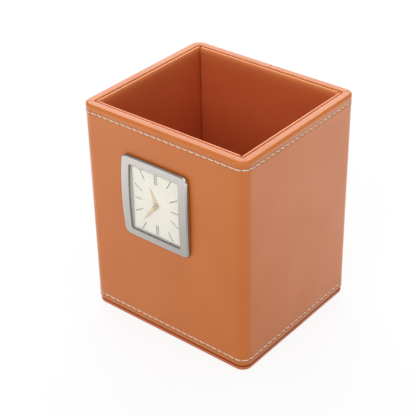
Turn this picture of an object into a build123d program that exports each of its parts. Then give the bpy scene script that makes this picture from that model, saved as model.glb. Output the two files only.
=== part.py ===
from build123d import *
import os
from math import acos, cos, pi, radians, sin, tan, atan2, degrees, hypot

# Leather-covered pen holder with a plug-in desk clock in its front wall.
# Millimetres, +Z up, front towards -Y, origin at the middle of the base underside.

# Outer size of the holder
WIDTH = 84.0
DEPTH = 75.0
HEIGHT = 100.0
CORNER_RADIUS = 4.7

# Leather wrap, turned in over the rim and under the boards
WRAP_THICK = 0.9
TURN_IN_THICK = 0.5
TURN_IN_DEPTH = 14.0
TURN_UNDER = 12.0
RIM_ROUND_OUT = 1.9
RIM_ROUND_IN = 1.5
WRAP_BOTTOM_ROUND = 1.4
SEAM_GAP = 0.3

# Boards under the wrap
BOARD_THICK = 2.6
BOARD_ROUND = 1.1
FLOOR_THICK = 3.5

# Base under the boards
BASE_THICK = 1.8
BASE_INSET = 0.55
BASE_ROUND = 0.5

# Lining of the cup
LINER_CARD_THICK = 0.6
LINER_LEATHER_THICK = 0.7
LINER_DROP = 0.5
LINER_ROUND = 0.5
FLOOR_LINING_THICK = 1.4

# Stitching
STITCH_PITCH = 3.2
STITCH_LENGTH = 2.45
THREAD_DIAMETER = 0.6
STITCH_DROP = 3.5
STITCH_RISE = 4.8
GROOVE_WIDTH = 1.1
GROOVE_DEPTH = 0.4

# Clearances: between panels, in a close fit, in a running fit, under the bezel
PANEL_GAP = 0.1
CLOSE_GAP = 0.02
RUNNING_GAP = 0.05
BEZEL_GAP = 0.1

# Clock face
CLOCK_SHIFT = -2.4
CLOCK_DROP = 34.5
BEZEL_WIDTH = 35.0
BEZEL_HEIGHT = 38.2
BEZEL_SIDE_BOW = 0.4
BEZEL_END_BOW = 0.2
BEZEL_CROWN = 1.0
BEZEL_CORNER = 2.6
BEZEL_OUTER_EDGE = 0.4
BEZEL_INNER_EDGE = 0.3
BEZEL_SIDE = 4.5
BEZEL_END = 3.85
OPENING_CORNER = 0.8
LIP_WIDTH = 1.4
LIP_THICK = 0.5
LENS_THICK = 0.55
GASKET_WALL = 0.4
HAND_ROOM = 1.05
DIAL_RING_WALL = 1.2
DIAL_RING_SLOPE = 0.9
DIAL_THICK = 0.2

# Hour markers and hands, angles clockwise from twelve
MARKER_INSET_SIDE = 1.9
MARKER_INSET_END = 1.35
MARKER_WIDTH = 0.45
MARKER_LENGTH = 4.4
SIDE_MARKER_LENGTH = 3.4
MARKER_PAIR_STEP = 0.95
MARKER_THICK = 0.12
HAND_THICK = 0.12
HAND_GAP = 0.15
HAND_SHOULDER = 0.2
HAND_BOSS_WALL = 0.45
HOUR_HAND_LENGTH = 8.2
HOUR_HAND_WIDTH = 2.4
HOUR_HAND_ANGLE = 338.0
MINUTE_HAND_TIP_GAP = 1.5
MINUTE_HAND_WIDTH = 2.0
MINUTE_HAND_ANGLE = 218.0

# Clock case behind the face
FLANGE_THICK = 0.2
CASE_DIAMETER = 30.0
CASE_WALL = 1.4
COVER_LEDGE = 0.5
COVER_THICK = 0.4
COVER_NOTCH = 2.4
GRIP_THICK = 0.5
GRIP_WIDTH = 2.0
GRIP_START = 0.6

# Movement plates, with places on the plate drawn for the calibre's radius
CALIBRE_RADIUS = 13.5
MOTION_ROOM = 0.5
PLATE_THICK = 0.5
PLATE_RIM = 1.3
TRAIN_ROOM = 1.4
BRIDGE_THICK = 0.4
BRIDGE_INSET = 0.9
BRIDGE_EDGE = 2.4
SCREW_HEAD_THICK = 0.25
SCREW_HEAD_RADIUS = 0.9
SCREW_RADIUS = 0.4
PILLAR_RADIUS = 1.1
PILLAR_SPOTS = [(-9.0, 6.0), (-10.5, -4.0), (0.5, -11.3)]

# Wheels of the movement
PRESSURE_ANGLE = 30.0
ADDENDUM = 0.9
DEDENDUM = 1.15
BACKLASH = 0.12
FLANK_POINTS = 4
WHEEL_THICK = 0.2
LEVEL_GAP = 0.1
MOTION_LEVEL_STEP = 0.35
TRAIN_LEVEL_STEP = 0.45
MOTION_MODULE = 0.2
THIRD_MODULE = 0.14
ROTOR_MODULE = 0.12
CANNON_TEETH = 10
MINUTE_WHEEL_TEETH = 30
MINUTE_PINION_TEETH = 8
HOUR_WHEEL_TEETH = 32
SETTING_TEETH = 10
CENTRE_WHEEL_TEETH = 30
THIRD_PINION_TEETH = 10
THIRD_WHEEL_TEETH = 40
INTERMEDIATE_PINION_TEETH = 8
INTERMEDIATE_WHEEL_TEETH = 48
ROTOR_PINION_TEETH = 8
SETTING_DIRECTION = 90.0
THIRD_DIRECTION = 200.0
INTERMEDIATE_DIRECTION = 250.0
ROTOR_DIRECTION = 300.0

# Arbors, pipes and knob
ARBOR_RADIUS = 0.5
CANNON_RADIUS = 0.6
HAND_SEAT_RADIUS = 0.4
HOUR_PIPE_WALL = 0.3
DIAL_HOLE_GAP = 0.2
POST_RADIUS = 0.38
PIVOT_RADIUS = 0.25
MAGNET_RADIUS = 0.6
MAGNET_THICK = 0.5
KNOB_RADIUS = 3.0
KNOB_THICK = 0.4
KNOB_RIDGES = 20
KNOB_RIDGE_RADIUS = 0.3

# Motor, electronics and battery, placed on the dial as seen from the front
COIL_SPOT = (2.8, -9.0)
COIL_LENGTH = 8.0
COIL_RADIUS = 0.62
CORE_RADIUS = 0.3
CORE_FOOT = 0.9
STATOR_THICK = 0.25
STATOR_ARM = 1.0
STATOR_RADIUS = 1.9
STATOR_AIR_GAP = 0.3
BOARD_SPOT = (6.9, -3.6)
CIRCUIT_WIDTH = 7.0
CIRCUIT_DEPTH = 4.5
CIRCUIT_THICK = 0.3
CRYSTAL_RADIUS = 0.7
CRYSTAL_LENGTH = 4.5
CRYSTAL_DROP = 0.8
BATTERY_SPOT = (7.2, 3.5)
BATTERY_RADIUS = 3.4
BATTERY_THICK = 1.65
CONTACT_WIDTH = 2.0
CONTACT_THICK = 0.2
CONTACT_LEG = 0.4

# Places worked out from the sizes above
roll_thick = WRAP_THICK + BOARD_THICK + TURN_IN_THICK
rim_round_out = min(RIM_ROUND_OUT, 0.55 * roll_thick)
rim_round_in = min(RIM_ROUND_IN, 0.43 * roll_thick)
rim_corner_in = 3 * PANEL_GAP
board_round = min(BOARD_ROUND, 0.4 * BOARD_THICK)
board_width = WIDTH - 2 * WRAP_THICK
board_depth = DEPTH - 2 * WRAP_THICK
inside_board_width = board_width - 2 * BOARD_THICK
inside_board_depth = board_depth - 2 * BOARD_THICK
cup_width = WIDTH - 2 * roll_thick
cup_depth = DEPTH - 2 * roll_thick
board_bottom = BASE_THICK + WRAP_THICK
board_top = HEIGHT - WRAP_THICK
floor_top = board_bottom + FLOOR_THICK
liner_thick = LINER_CARD_THICK + LINER_LEATHER_THICK
liner_top = HEIGHT - LINER_DROP
liner_round = min(LINER_ROUND, 0.4 * liner_thick)

# Face of the clock
clock_height = HEIGHT - CLOCK_DROP
opening_width = BEZEL_WIDTH - 2 * BEZEL_SIDE
opening_height = BEZEL_HEIGHT - 2 * BEZEL_END
marker_span_x = opening_width - 2 * MARKER_INSET_SIDE
marker_span_y = opening_height - 2 * MARKER_INSET_END
minute_hand_length = opening_width / 2 - MINUTE_HAND_TIP_GAP

# Heights along the clock's own axis, from the leather outwards
flange_back = BEZEL_GAP
dial_back = flange_back + FLANGE_THICK
dial_front = dial_back + DIAL_THICK
lens_back = dial_front + HAND_ROOM
lens_front = lens_back + LENS_THICK
bezel_front = lens_front + LIP_THICK
crown_radius = ((BEZEL_HEIGHT / 2) ** 2 + BEZEL_CROWN**2) / (2 * BEZEL_CROWN)
hour_hand_back = dial_front + HAND_GAP
minute_hand_back = hour_hand_back + HAND_THICK + HAND_GAP
plate_front = flange_back - MOTION_ROOM
plate_back = plate_front - PLATE_THICK
bridge_front = plate_back - TRAIN_ROOM
bridge_back = bridge_front - BRIDGE_THICK
cover_front = bridge_back - SCREW_HEAD_THICK - LEVEL_GAP
cover_back = cover_front - COVER_THICK
knob_front = cover_back - LEVEL_GAP
knob_back = knob_front - KNOB_THICK
motion_level = plate_front + LEVEL_GAP
hour_level = motion_level + MOTION_LEVEL_STEP
centre_level = plate_back - LEVEL_GAP - WHEEL_THICK
third_level = centre_level - TRAIN_LEVEL_STEP
rotor_level = third_level - TRAIN_LEVEL_STEP
pivot_back = bridge_back + LEVEL_GAP
pivot_front = plate_front - LEVEL_GAP

# Radii of the case and sizes of the pocket behind the bezel
pocket_width = opening_width + 2 * LIP_WIDTH
pocket_height = opening_height + 2 * LIP_WIDTH
case_inner_radius = CASE_DIAMETER / 2 - CASE_WALL
plate_radius = case_inner_radius - PANEL_GAP
motion_radius = plate_radius - PLATE_RIM
calibre = plate_radius / CALIBRE_RADIUS
hole_radius = CASE_DIAMETER / 2 + GRIP_THICK + RUNNING_GAP
hour_pipe_inner = CANNON_RADIUS + RUNNING_GAP
hour_pipe_outer = hour_pipe_inner + HOUR_PIPE_WALL

# Plan of the movement at the size of its plate
motion_module = MOTION_MODULE * calibre
third_module = THIRD_MODULE * calibre
rotor_module = ROTOR_MODULE * calibre
pillar_spots = [(x * calibre, y * calibre) for x, y in PILLAR_SPOTS]
coil_spot = (COIL_SPOT[0] * calibre, COIL_SPOT[1] * calibre)
coil_length = COIL_LENGTH * calibre
board_spot = (BOARD_SPOT[0] * calibre, BOARD_SPOT[1] * calibre)
battery_spot = (BATTERY_SPOT[0] * calibre, BATTERY_SPOT[1] * calibre)


def clock_plane(height, spot=(0.0, 0.0), turn=0.0):
    """Plane along the front wall, at a height above the leather, on a spot of the dial, turned clockwise."""
    origin = (CLOCK_SHIFT + spot[0], -DEPTH / 2 - height, clock_height + spot[1])
    across = (cos(radians(turn)), 0, -sin(radians(turn)))
    return Plane(origin=origin, x_dir=across, z_dir=(0, -1, 0))


def away_from(spot, distance, direction):
    """Spot at a distance and direction, in degrees, from another spot."""
    x = spot[0] + distance * cos(radians(direction))
    y = spot[1] + distance * sin(radians(direction))
    return (x, y)


def meshed(phase, teeth, direction, other_teeth):
    """Phase of a wheel whose gaps take the teeth of the wheel that it meets in a direction."""
    ahead = (direction - phase) * teeth / 360
    return direction + 180 - (0.5 - ahead) * 360 / other_teeth


# Where the wheels stand, and how far each is turned so that its teeth are in mesh
centre_spot = (0.0, 0.0)
motion_distance = (CANNON_TEETH + MINUTE_WHEEL_TEETH) * motion_module / 2
setting_distance = (MINUTE_WHEEL_TEETH + SETTING_TEETH) * motion_module / 2
centre_distance = (CENTRE_WHEEL_TEETH + THIRD_PINION_TEETH) * motion_module / 2
third_distance = (THIRD_WHEEL_TEETH + INTERMEDIATE_PINION_TEETH) * third_module / 2
rotor_distance = (INTERMEDIATE_WHEEL_TEETH + ROTOR_PINION_TEETH) * rotor_module / 2
minute_spot = away_from(centre_spot, motion_distance, SETTING_DIRECTION)
setting_spot = away_from(minute_spot, setting_distance, SETTING_DIRECTION)
third_spot = away_from(centre_spot, centre_distance, THIRD_DIRECTION)
intermediate_spot = away_from(third_spot, third_distance, INTERMEDIATE_DIRECTION)
rotor_spot = away_from(intermediate_spot, rotor_distance, ROTOR_DIRECTION)
pivot_spots = [third_spot, intermediate_spot, rotor_spot]
minute_phase = meshed(0.0, CANNON_TEETH, SETTING_DIRECTION, MINUTE_WHEEL_TEETH)
hour_phase = meshed(0.0, MINUTE_PINION_TEETH, SETTING_DIRECTION + 180, HOUR_WHEEL_TEETH)
setting_phase = meshed(minute_phase, MINUTE_WHEEL_TEETH, SETTING_DIRECTION, SETTING_TEETH)
third_phase = meshed(0.0, CENTRE_WHEEL_TEETH, THIRD_DIRECTION, THIRD_PINION_TEETH)
intermediate_phase = meshed(0.0, THIRD_WHEEL_TEETH, INTERMEDIATE_DIRECTION, INTERMEDIATE_PINION_TEETH)
rotor_phase = meshed(0.0, INTERMEDIATE_WHEEL_TEETH, ROTOR_DIRECTION, ROTOR_PINION_TEETH)


def involute(radius, base_radius):
    """Angle by which an involute has left its base circle at a radius."""
    pressure = acos(base_radius / radius)
    return tan(pressure) - pressure


def wheel_face(level, spot, teeth, module, phase):
    """Toothed outline of a wheel at a level, with one tooth centred on its phase angle."""
    pitch_radius = teeth * module / 2
    base_radius = pitch_radius * cos(radians(PRESSURE_ANGLE))
    tip_radius = pitch_radius + ADDENDUM * module
    root_radius = pitch_radius - DEDENDUM * module
    start_radius = max(base_radius, root_radius)
    pitch_half = pi / (2 * teeth) * (1 - BACKLASH) + involute(pitch_radius, base_radius)
    flank = []
    for step in range(FLANK_POINTS):
        radius = start_radius + (tip_radius - start_radius) * step / (FLANK_POINTS - 1)
        flank.append((radius, pitch_half - involute(radius, base_radius)))
    if root_radius < start_radius:
        flank.insert(0, (root_radius, flank[0][1]))
    outline = []
    for tooth in range(teeth):
        middle = radians(phase) + 2 * pi * tooth / teeth
        outline += [(r * cos(middle - half), r * sin(middle - half)) for r, half in flank]
        outline += [(r * cos(middle + half), r * sin(middle + half)) for r, half in reversed(flank)]
    with BuildSketch(clock_plane(level, spot)) as face:
        with BuildLine():
            Polyline(*outline, close=True)
        make_face()
    return face.sketch


def disc(level, radius, spot=(0.0, 0.0)):
    """Round face at a level of the clock."""
    with BuildSketch(clock_plane(level, spot)) as face:
        Circle(radius)
    return face.sketch


def frame_face(level, outer, inner=None, corner=0.0):
    """Rectangular face at a level of the clock, with a rectangular hole if one is given."""
    with BuildSketch(clock_plane(level)) as face:
        Rectangle(*outer)
        if inner:
            RectangleRounded(*inner, corner, mode=Mode.SUBTRACT)
    return face.sketch


def crowned(level):
    """Round bar across the clock, whose top lies at a level and falls away to the bezel's upper and lower ends."""
    radius = crown_radius - bezel_front + level
    middle = (CLOCK_SHIFT - BEZEL_WIDTH, crown_radius - DEPTH / 2 - bezel_front, clock_height)
    with BuildPart() as bar:
        with BuildSketch(Plane(origin=middle, x_dir=(0, 1, 0), z_dir=(1, 0, 0))):
            Circle(radius)
        extrude(amount=2 * BEZEL_WIDTH)
    return bar.part


# Ring of boards, cut into four below
with BuildPart() as board_ring:
    with BuildSketch(Plane.XY.offset(board_bottom)):
        RectangleRounded(board_width, board_depth, CORNER_RADIUS - WRAP_THICK)
        Rectangle(inside_board_width, inside_board_depth, mode=Mode.SUBTRACT)
    extrude(amount=board_top - board_bottom)
    fillet(board_ring.faces().sort_by(Axis.Z)[-1].outer_wire().edges(), board_round)

front_cut = Plane.XZ.offset(inside_board_depth / 2)
back_cut = Plane.XZ.offset(-inside_board_depth / 2)

with BuildPart() as core_front:
    add(board_ring.part)
    split(bisect_by=front_cut, keep=Keep.TOP)
    extrude(disc(-WRAP_THICK - BOARD_THICK, hole_radius), amount=BOARD_THICK, mode=Mode.SUBTRACT)

with BuildPart() as core_back:
    add(board_ring.part)
    split(bisect_by=back_cut, keep=Keep.BOTTOM)

with BuildPart() as side_boards:
    add(board_ring.part)
    split(bisect_by=front_cut, keep=Keep.BOTTOM)
    split(bisect_by=back_cut, keep=Keep.TOP)

with BuildPart() as core_left:
    add(side_boards.part)
    split(bisect_by=Plane.YZ, keep=Keep.BOTTOM)

with BuildPart() as core_right:
    add(side_boards.part)
    split(bisect_by=Plane.YZ, keep=Keep.TOP)

with BuildPart() as core_floor:
    with BuildSketch(Plane.XY.offset(board_bottom)):
        Rectangle(inside_board_width - 2 * PANEL_GAP, inside_board_depth - 2 * PANEL_GAP)
    extrude(amount=FLOOR_THICK)

# Wrap: an outer skin with a rolled rim, turned in over the boards and under them
with BuildPart() as outer_wrap:
    with BuildSketch(Plane.XY.offset(BASE_THICK)):
        RectangleRounded(WIDTH, DEPTH, CORNER_RADIUS)
    extrude(amount=HEIGHT - BASE_THICK)
    fillet(outer_wrap.faces().sort_by(Axis.Z)[-1].edges(), rim_round_out)
    fillet(outer_wrap.faces().sort_by(Axis.Z)[0].edges(), WRAP_BOTTOM_ROUND)
    with BuildSketch(Plane.XY.offset(HEIGHT)):
        RectangleRounded(cup_width, cup_depth, rim_corner_in)
    extrude(amount=board_bottom - HEIGHT, mode=Mode.SUBTRACT)
    fillet(outer_wrap.faces().filter_by(Axis.Z).sort_by(Axis.Z)[-1].inner_wires()[0].edges(), rim_round_in)
    with BuildSketch(Plane.XY.offset(board_bottom)):
        Rectangle(inside_board_width, inside_board_depth)
    extrude(amount=HEIGHT - TURN_IN_DEPTH - board_bottom, mode=Mode.SUBTRACT)
    with BuildSketch(Plane.XY.offset(BASE_THICK)):
        Rectangle(WIDTH - 2 * TURN_UNDER, DEPTH - 2 * TURN_UNDER)
    extrude(amount=WRAP_THICK, mode=Mode.SUBTRACT)
    add(board_ring.part, mode=Mode.SUBTRACT)
    extrude(disc(-WRAP_THICK, hole_radius), amount=WRAP_THICK, mode=Mode.SUBTRACT)
    # Seam where the two ends of the wrap meet, down the middle of the back
    with BuildSketch(Plane.XY.offset(BASE_THICK)):
        with Locations((0, DEPTH / 4)):
            Rectangle(SEAM_GAP, DEPTH / 2)
    extrude(amount=HEIGHT - BASE_THICK, mode=Mode.SUBTRACT)
    # Channels that the two rows of stitches lie in
    for row_height in (STITCH_RISE, HEIGHT - STITCH_DROP):
        with BuildSketch(Plane.XY.offset(row_height - GROOVE_WIDTH / 2)):
            RectangleRounded(WIDTH + GROOVE_DEPTH, DEPTH + GROOVE_DEPTH, CORNER_RADIUS)
            RectangleRounded(
                WIDTH - 2 * GROOVE_DEPTH,
                DEPTH - 2 * GROOVE_DEPTH,
                CORNER_RADIUS - GROOVE_DEPTH,
                mode=Mode.SUBTRACT,
            )
        extrude(amount=GROOVE_WIDTH, mode=Mode.SUBTRACT)

with BuildPart() as base_filler_card:
    with BuildSketch(Plane.XY.offset(BASE_THICK)):
        Rectangle(WIDTH - 2 * TURN_UNDER - 2 * PANEL_GAP, DEPTH - 2 * TURN_UNDER - 2 * PANEL_GAP)
    extrude(amount=WRAP_THICK)

with BuildPart() as base_pad:
    with BuildSketch():
        RectangleRounded(WIDTH - 2 * BASE_INSET, DEPTH - 2 * BASE_INSET, CORNER_RADIUS - BASE_INSET)
    extrude(amount=BASE_THICK)
    fillet(base_pad.faces().sort_by(Axis.Z)[0].edges(), BASE_ROUND)

# One stitch, standing along Z
with BuildPart() as stitch:
    with BuildSketch(Plane.XZ):
        SlotOverall(STITCH_LENGTH, THREAD_DIAMETER, rotation=90)
        with Locations((-THREAD_DIAMETER, 0)):
            Rectangle(2 * THREAD_DIAMETER, STITCH_LENGTH, mode=Mode.SUBTRACT)
    revolve(axis=Axis.Z)

# Both rows follow the wrap's outline, with a whole number of stitches
thread_out = THREAD_DIAMETER / 2 + CLOSE_GAP - GROOVE_DEPTH
with BuildSketch() as row_outline:
    RectangleRounded(WIDTH + 2 * thread_out, DEPTH + 2 * thread_out, CORNER_RADIUS + thread_out)
row_path = row_outline.sketch.face().outer_wire()
stitch_count = round(row_path.length / STITCH_PITCH)
stitch_places = [row_path.location_at((place + 0.5) / stitch_count) for place in range(stitch_count)]

with BuildPart() as bottom_stitching:
    with Locations(*[Pos(0, 0, STITCH_RISE) * place for place in stitch_places]):
        add(stitch.part)

with BuildPart() as top_stitching:
    with Locations(*[Pos(0, 0, HEIGHT - STITCH_DROP) * place for place in stitch_places]):
        add(stitch.part)


def liner_panel(wall_plane, panel_width):
    """Card and the leather over its face and top edge, standing on the floor against a wall of the cup."""
    card_top = liner_top - LINER_LEATHER_THICK
    with BuildPart() as card:
        with BuildSketch(wall_plane):
            with Locations((0, (floor_top + card_top) / 2)):
                Rectangle(panel_width, card_top - floor_top)
        extrude(amount=LINER_CARD_THICK)
    with BuildPart() as leather:
        with BuildSketch(wall_plane):
            with Locations((0, (floor_top + liner_top) / 2)):
                Rectangle(panel_width, liner_top - floor_top)
        extrude(amount=liner_thick)
        top_edges = leather.faces().sort_by(Axis.Z)[-1].edges().sort_by(SortBy.LENGTH)[-2:]
        fillet(top_edges, liner_round)
        add(card.part, mode=Mode.SUBTRACT)
    return leather, card


# Lining: side panels run the whole depth, front and back panels stand between them
between_sides = cup_width - 2 * (liner_thick + PANEL_GAP)
left_wall = Plane(origin=(-cup_width / 2, 0, 0), x_dir=(0, 1, 0), z_dir=(1, 0, 0))
right_wall = Plane(origin=(cup_width / 2, 0, 0), x_dir=(0, -1, 0), z_dir=(-1, 0, 0))
front_wall = Plane(origin=(0, -cup_depth / 2, 0), x_dir=(-1, 0, 0), z_dir=(0, 1, 0))
back_wall = Plane(origin=(0, cup_depth / 2, 0), x_dir=(1, 0, 0), z_dir=(0, -1, 0))
side_panel = cup_depth - 2 * PANEL_GAP
liner_left, liner_card_left = liner_panel(left_wall.offset(PANEL_GAP), side_panel)
liner_right, liner_card_right = liner_panel(right_wall.offset(PANEL_GAP), side_panel)
panel_between = between_sides - 2 * PANEL_GAP
liner_front, liner_card_front = liner_panel(front_wall.offset(PANEL_GAP), panel_between)
liner_back, liner_card_back = liner_panel(back_wall.offset(PANEL_GAP), panel_between)

with BuildPart() as floor_lining:
    with BuildSketch(Plane.XY.offset(floor_top)):
        lining_edge = 2 * (liner_thick + 2 * PANEL_GAP)
        Rectangle(cup_width - lining_edge, cup_depth - lining_edge)
    extrude(amount=FLOOR_LINING_THICK)

# Bezel: bowed frame with a pocket for the glass and dial from behind
with BuildPart() as clock_bezel:
    with BuildSketch(clock_plane(BEZEL_GAP)) as bezel_outline:
        side = BEZEL_WIDTH / 2
        end = BEZEL_HEIGHT / 2
        corner_x = side - BEZEL_SIDE_BOW
        corner_y = end - BEZEL_END_BOW
        with BuildLine():
            ThreePointArc((-corner_x, corner_y), (0, end), (corner_x, corner_y))
            ThreePointArc((corner_x, corner_y), (side, 0), (corner_x, -corner_y))
            ThreePointArc((corner_x, -corner_y), (0, -end), (-corner_x, -corner_y))
            ThreePointArc((-corner_x, -corner_y), (-side, 0), (-corner_x, corner_y))
        make_face()
        fillet(bezel_outline.vertices(), BEZEL_CORNER)
    extrude(amount=bezel_front - BEZEL_GAP)
    add(crowned(bezel_front), mode=Mode.INTERSECT)
    front_face = clock_bezel.faces().sort_by(Axis.Y)[0]
    fillet(front_face.edges(), BEZEL_OUTER_EDGE)
    with BuildSketch(clock_plane(BEZEL_GAP)):
        RectangleRounded(opening_width, opening_height, OPENING_CORNER)
    extrude(amount=bezel_front - BEZEL_GAP, mode=Mode.SUBTRACT)
    front_face = clock_bezel.faces().sort_by(Axis.Y)[0]
    chamfer(front_face.inner_wires()[0].edges(), BEZEL_INNER_EDGE)
    with BuildPart(mode=Mode.SUBTRACT):
        extrude(frame_face(BEZEL_GAP, (pocket_width, pocket_height)), amount=lens_front - BEZEL_GAP)
        add(crowned(lens_front), mode=Mode.INTERSECT)

fit_size = (pocket_width - 2 * CLOSE_GAP, pocket_height - 2 * CLOSE_GAP)
lens_size = (fit_size[0] - 2 * GASKET_WALL, fit_size[1] - 2 * GASKET_WALL)
glass_size = (lens_size[0] - 2 * CLOSE_GAP, lens_size[1] - 2 * CLOSE_GAP)
ring_opening = (fit_size[0] - 2 * DIAL_RING_WALL, fit_size[1] - 2 * DIAL_RING_WALL)
ring_foot = (ring_opening[0] - 2 * DIAL_RING_SLOPE, ring_opening[1] - 2 * DIAL_RING_SLOPE)

with BuildPart() as lens_gasket:
    extrude(frame_face(dial_front, fit_size, lens_size, CLOSE_GAP), amount=lens_front - dial_front)
    add(crowned(lens_front), mode=Mode.INTERSECT)
    add(crowned(lens_back), mode=Mode.SUBTRACT)

with BuildPart() as clock_lens:
    extrude(frame_face(dial_front, glass_size), amount=lens_front - dial_front)
    add(crowned(lens_front), mode=Mode.INTERSECT)
    add(crowned(lens_back), mode=Mode.SUBTRACT)

with BuildPart() as dial_ring:
    extrude(frame_face(dial_front, fit_size), amount=HAND_ROOM)
    with BuildSketch(clock_plane(dial_front)):
        RectangleRounded(ring_foot[0], ring_foot[1], OPENING_CORNER)
    with BuildSketch(clock_plane(lens_back)):
        RectangleRounded(ring_opening[0], ring_opening[1], OPENING_CORNER)
    loft(mode=Mode.SUBTRACT)
    add(crowned(lens_back), mode=Mode.INTERSECT)

with BuildPart() as dial:
    extrude(frame_face(dial_back, fit_size), amount=DIAL_THICK)
    extrude(disc(dial_back, hour_pipe_outer + DIAL_HOLE_GAP), amount=DIAL_THICK, mode=Mode.SUBTRACT)


def marker_places(hour):
    """Centre, turn and length of each baton of an hour, whose outer end lies on the markers' rectangle."""
    turn = radians(30 * hour)
    across, up = sin(turn), cos(turn)
    reach = 1 / max(2 * abs(across) / marker_span_x, 2 * abs(up) / marker_span_y)
    length = SIDE_MARKER_LENGTH if hour % 6 == 3 else MARKER_LENGTH
    middle = reach - length / 2
    shifts = (-MARKER_PAIR_STEP / 2, MARKER_PAIR_STEP / 2) if hour % 6 == 0 else (0.0,)
    return [Location((middle * across + shift, middle * up), -30 * hour) for shift in shifts], length


with BuildPart() as hour_markers:
    for hour in range(12):
        batons, baton_length = marker_places(hour)
        with BuildSketch(clock_plane(dial_front)):
            with Locations(*batons):
                Rectangle(MARKER_WIDTH, baton_length)
        extrude(amount=MARKER_THICK)


def pointed_hand(level, angle, length, blade_width, seat_radius):
    """Flat hand with a lozenge blade and a round boss on its seat."""
    shoulder = HAND_SHOULDER * length
    with BuildPart() as hand:
        with BuildSketch(clock_plane(level, centre_spot, angle)):
            with BuildLine():
                Polyline(
                    (0, 0),
                    (blade_width / 2, shoulder),
                    (0, length),
                    (-blade_width / 2, shoulder),
                    close=True,
                )
            make_face()
            Circle(seat_radius + HAND_BOSS_WALL)
            Circle(seat_radius + CLOSE_GAP, mode=Mode.SUBTRACT)
        extrude(amount=HAND_THICK)
    return hand


hour_hand = pointed_hand(
    hour_hand_back, HOUR_HAND_ANGLE, HOUR_HAND_LENGTH, HOUR_HAND_WIDTH, hour_pipe_outer
)
minute_hand = pointed_hand(
    minute_hand_back, MINUTE_HAND_ANGLE, minute_hand_length, MINUTE_HAND_WIDTH, HAND_SEAT_RADIUS
)

# Case: a flange in the bezel's pocket and a round tube that plugs into the front wall
with BuildPart() as case_body:
    extrude(frame_face(flange_back, fit_size), amount=FLANGE_THICK)
    extrude(disc(cover_back, CASE_DIAMETER / 2), amount=flange_back - cover_back)
    extrude(disc(cover_back, case_inner_radius), amount=flange_back - cover_back, mode=Mode.SUBTRACT)
    extrude(disc(flange_back, motion_radius), amount=FLANGE_THICK, mode=Mode.SUBTRACT)
    extrude(disc(cover_back, case_inner_radius + COVER_LEDGE), amount=COVER_THICK, mode=Mode.SUBTRACT)

with BuildPart() as grip_ring:
    grip_level = -GRIP_START - GRIP_WIDTH
    extrude(disc(grip_level, CASE_DIAMETER / 2 + GRIP_THICK), amount=GRIP_WIDTH)
    extrude(disc(grip_level, CASE_DIAMETER / 2 + CLOSE_GAP), amount=GRIP_WIDTH, mode=Mode.SUBTRACT)

with BuildPart() as back_cover:
    cover_radius = case_inner_radius + COVER_LEDGE - CLOSE_GAP
    extrude(disc(cover_back, cover_radius), amount=COVER_THICK)
    extrude(disc(cover_back, ARBOR_RADIUS + RUNNING_GAP, setting_spot), amount=COVER_THICK, mode=Mode.SUBTRACT)
    with BuildSketch(clock_plane(cover_back, (0, -cover_radius))):
        Rectangle(COVER_NOTCH, COVER_LEDGE)
    extrude(amount=COVER_THICK, mode=Mode.SUBTRACT)

# Movement plates
with BuildPart() as main_plate:
    extrude(disc(plate_back, plate_radius), amount=flange_back - plate_back)
    extrude(disc(plate_front, motion_radius), amount=flange_back - plate_front, mode=Mode.SUBTRACT)
    extrude(disc(plate_front, POST_RADIUS, minute_spot), amount=hour_level + WHEEL_THICK - plate_front)
    for spot in (centre_spot, setting_spot):
        extrude(disc(plate_back, ARBOR_RADIUS + RUNNING_GAP, spot), amount=PLATE_THICK, mode=Mode.SUBTRACT)
    for spot in pivot_spots:
        extrude(disc(plate_back, PIVOT_RADIUS + RUNNING_GAP, spot), amount=PLATE_THICK, mode=Mode.SUBTRACT)
    for spot in pillar_spots:
        extrude(disc(bridge_front, PILLAR_RADIUS, spot), amount=TRAIN_ROOM)
        extrude(disc(bridge_front, SCREW_RADIUS + CLOSE_GAP, spot), amount=TRAIN_ROOM, mode=Mode.SUBTRACT)

with BuildPart() as train_bridge:
    with BuildSketch(clock_plane(bridge_back)):
        Circle(plate_radius - BRIDGE_INSET)
        with Locations((BRIDGE_EDGE * calibre, 0)):
            Rectangle(
                plate_radius,
                2 * plate_radius,
                align=(Align.MIN, Align.CENTER),
                mode=Mode.SUBTRACT,
            )
        with Locations(centre_spot, setting_spot):
            Circle(ARBOR_RADIUS + RUNNING_GAP, mode=Mode.SUBTRACT)
        with Locations(*pivot_spots):
            Circle(PIVOT_RADIUS + RUNNING_GAP, mode=Mode.SUBTRACT)
        with Locations(*pillar_spots):
            Circle(SCREW_RADIUS + CLOSE_GAP, mode=Mode.SUBTRACT)
    extrude(amount=BRIDGE_THICK)

with BuildPart() as bridge_screws:
    for spot in pillar_spots:
        extrude(disc(bridge_back - SCREW_HEAD_THICK, SCREW_HEAD_RADIUS, spot), amount=SCREW_HEAD_THICK)
        extrude(disc(bridge_back, SCREW_RADIUS, spot), amount=BRIDGE_THICK + TRAIN_ROOM - LEVEL_GAP)

# Motion work on the dial side of the plate
with BuildPart() as cannon_pinion:
    extrude(wheel_face(motion_level, centre_spot, CANNON_TEETH, motion_module, 0.0), amount=WHEEL_THICK)
    extrude(disc(pivot_back, ARBOR_RADIUS), amount=motion_level - pivot_back)
    extrude(disc(motion_level, CANNON_RADIUS), amount=minute_hand_back - CLOSE_GAP - motion_level)
    extrude(disc(motion_level, HAND_SEAT_RADIUS), amount=minute_hand_back + HAND_THICK + HAND_GAP - motion_level)

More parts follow.
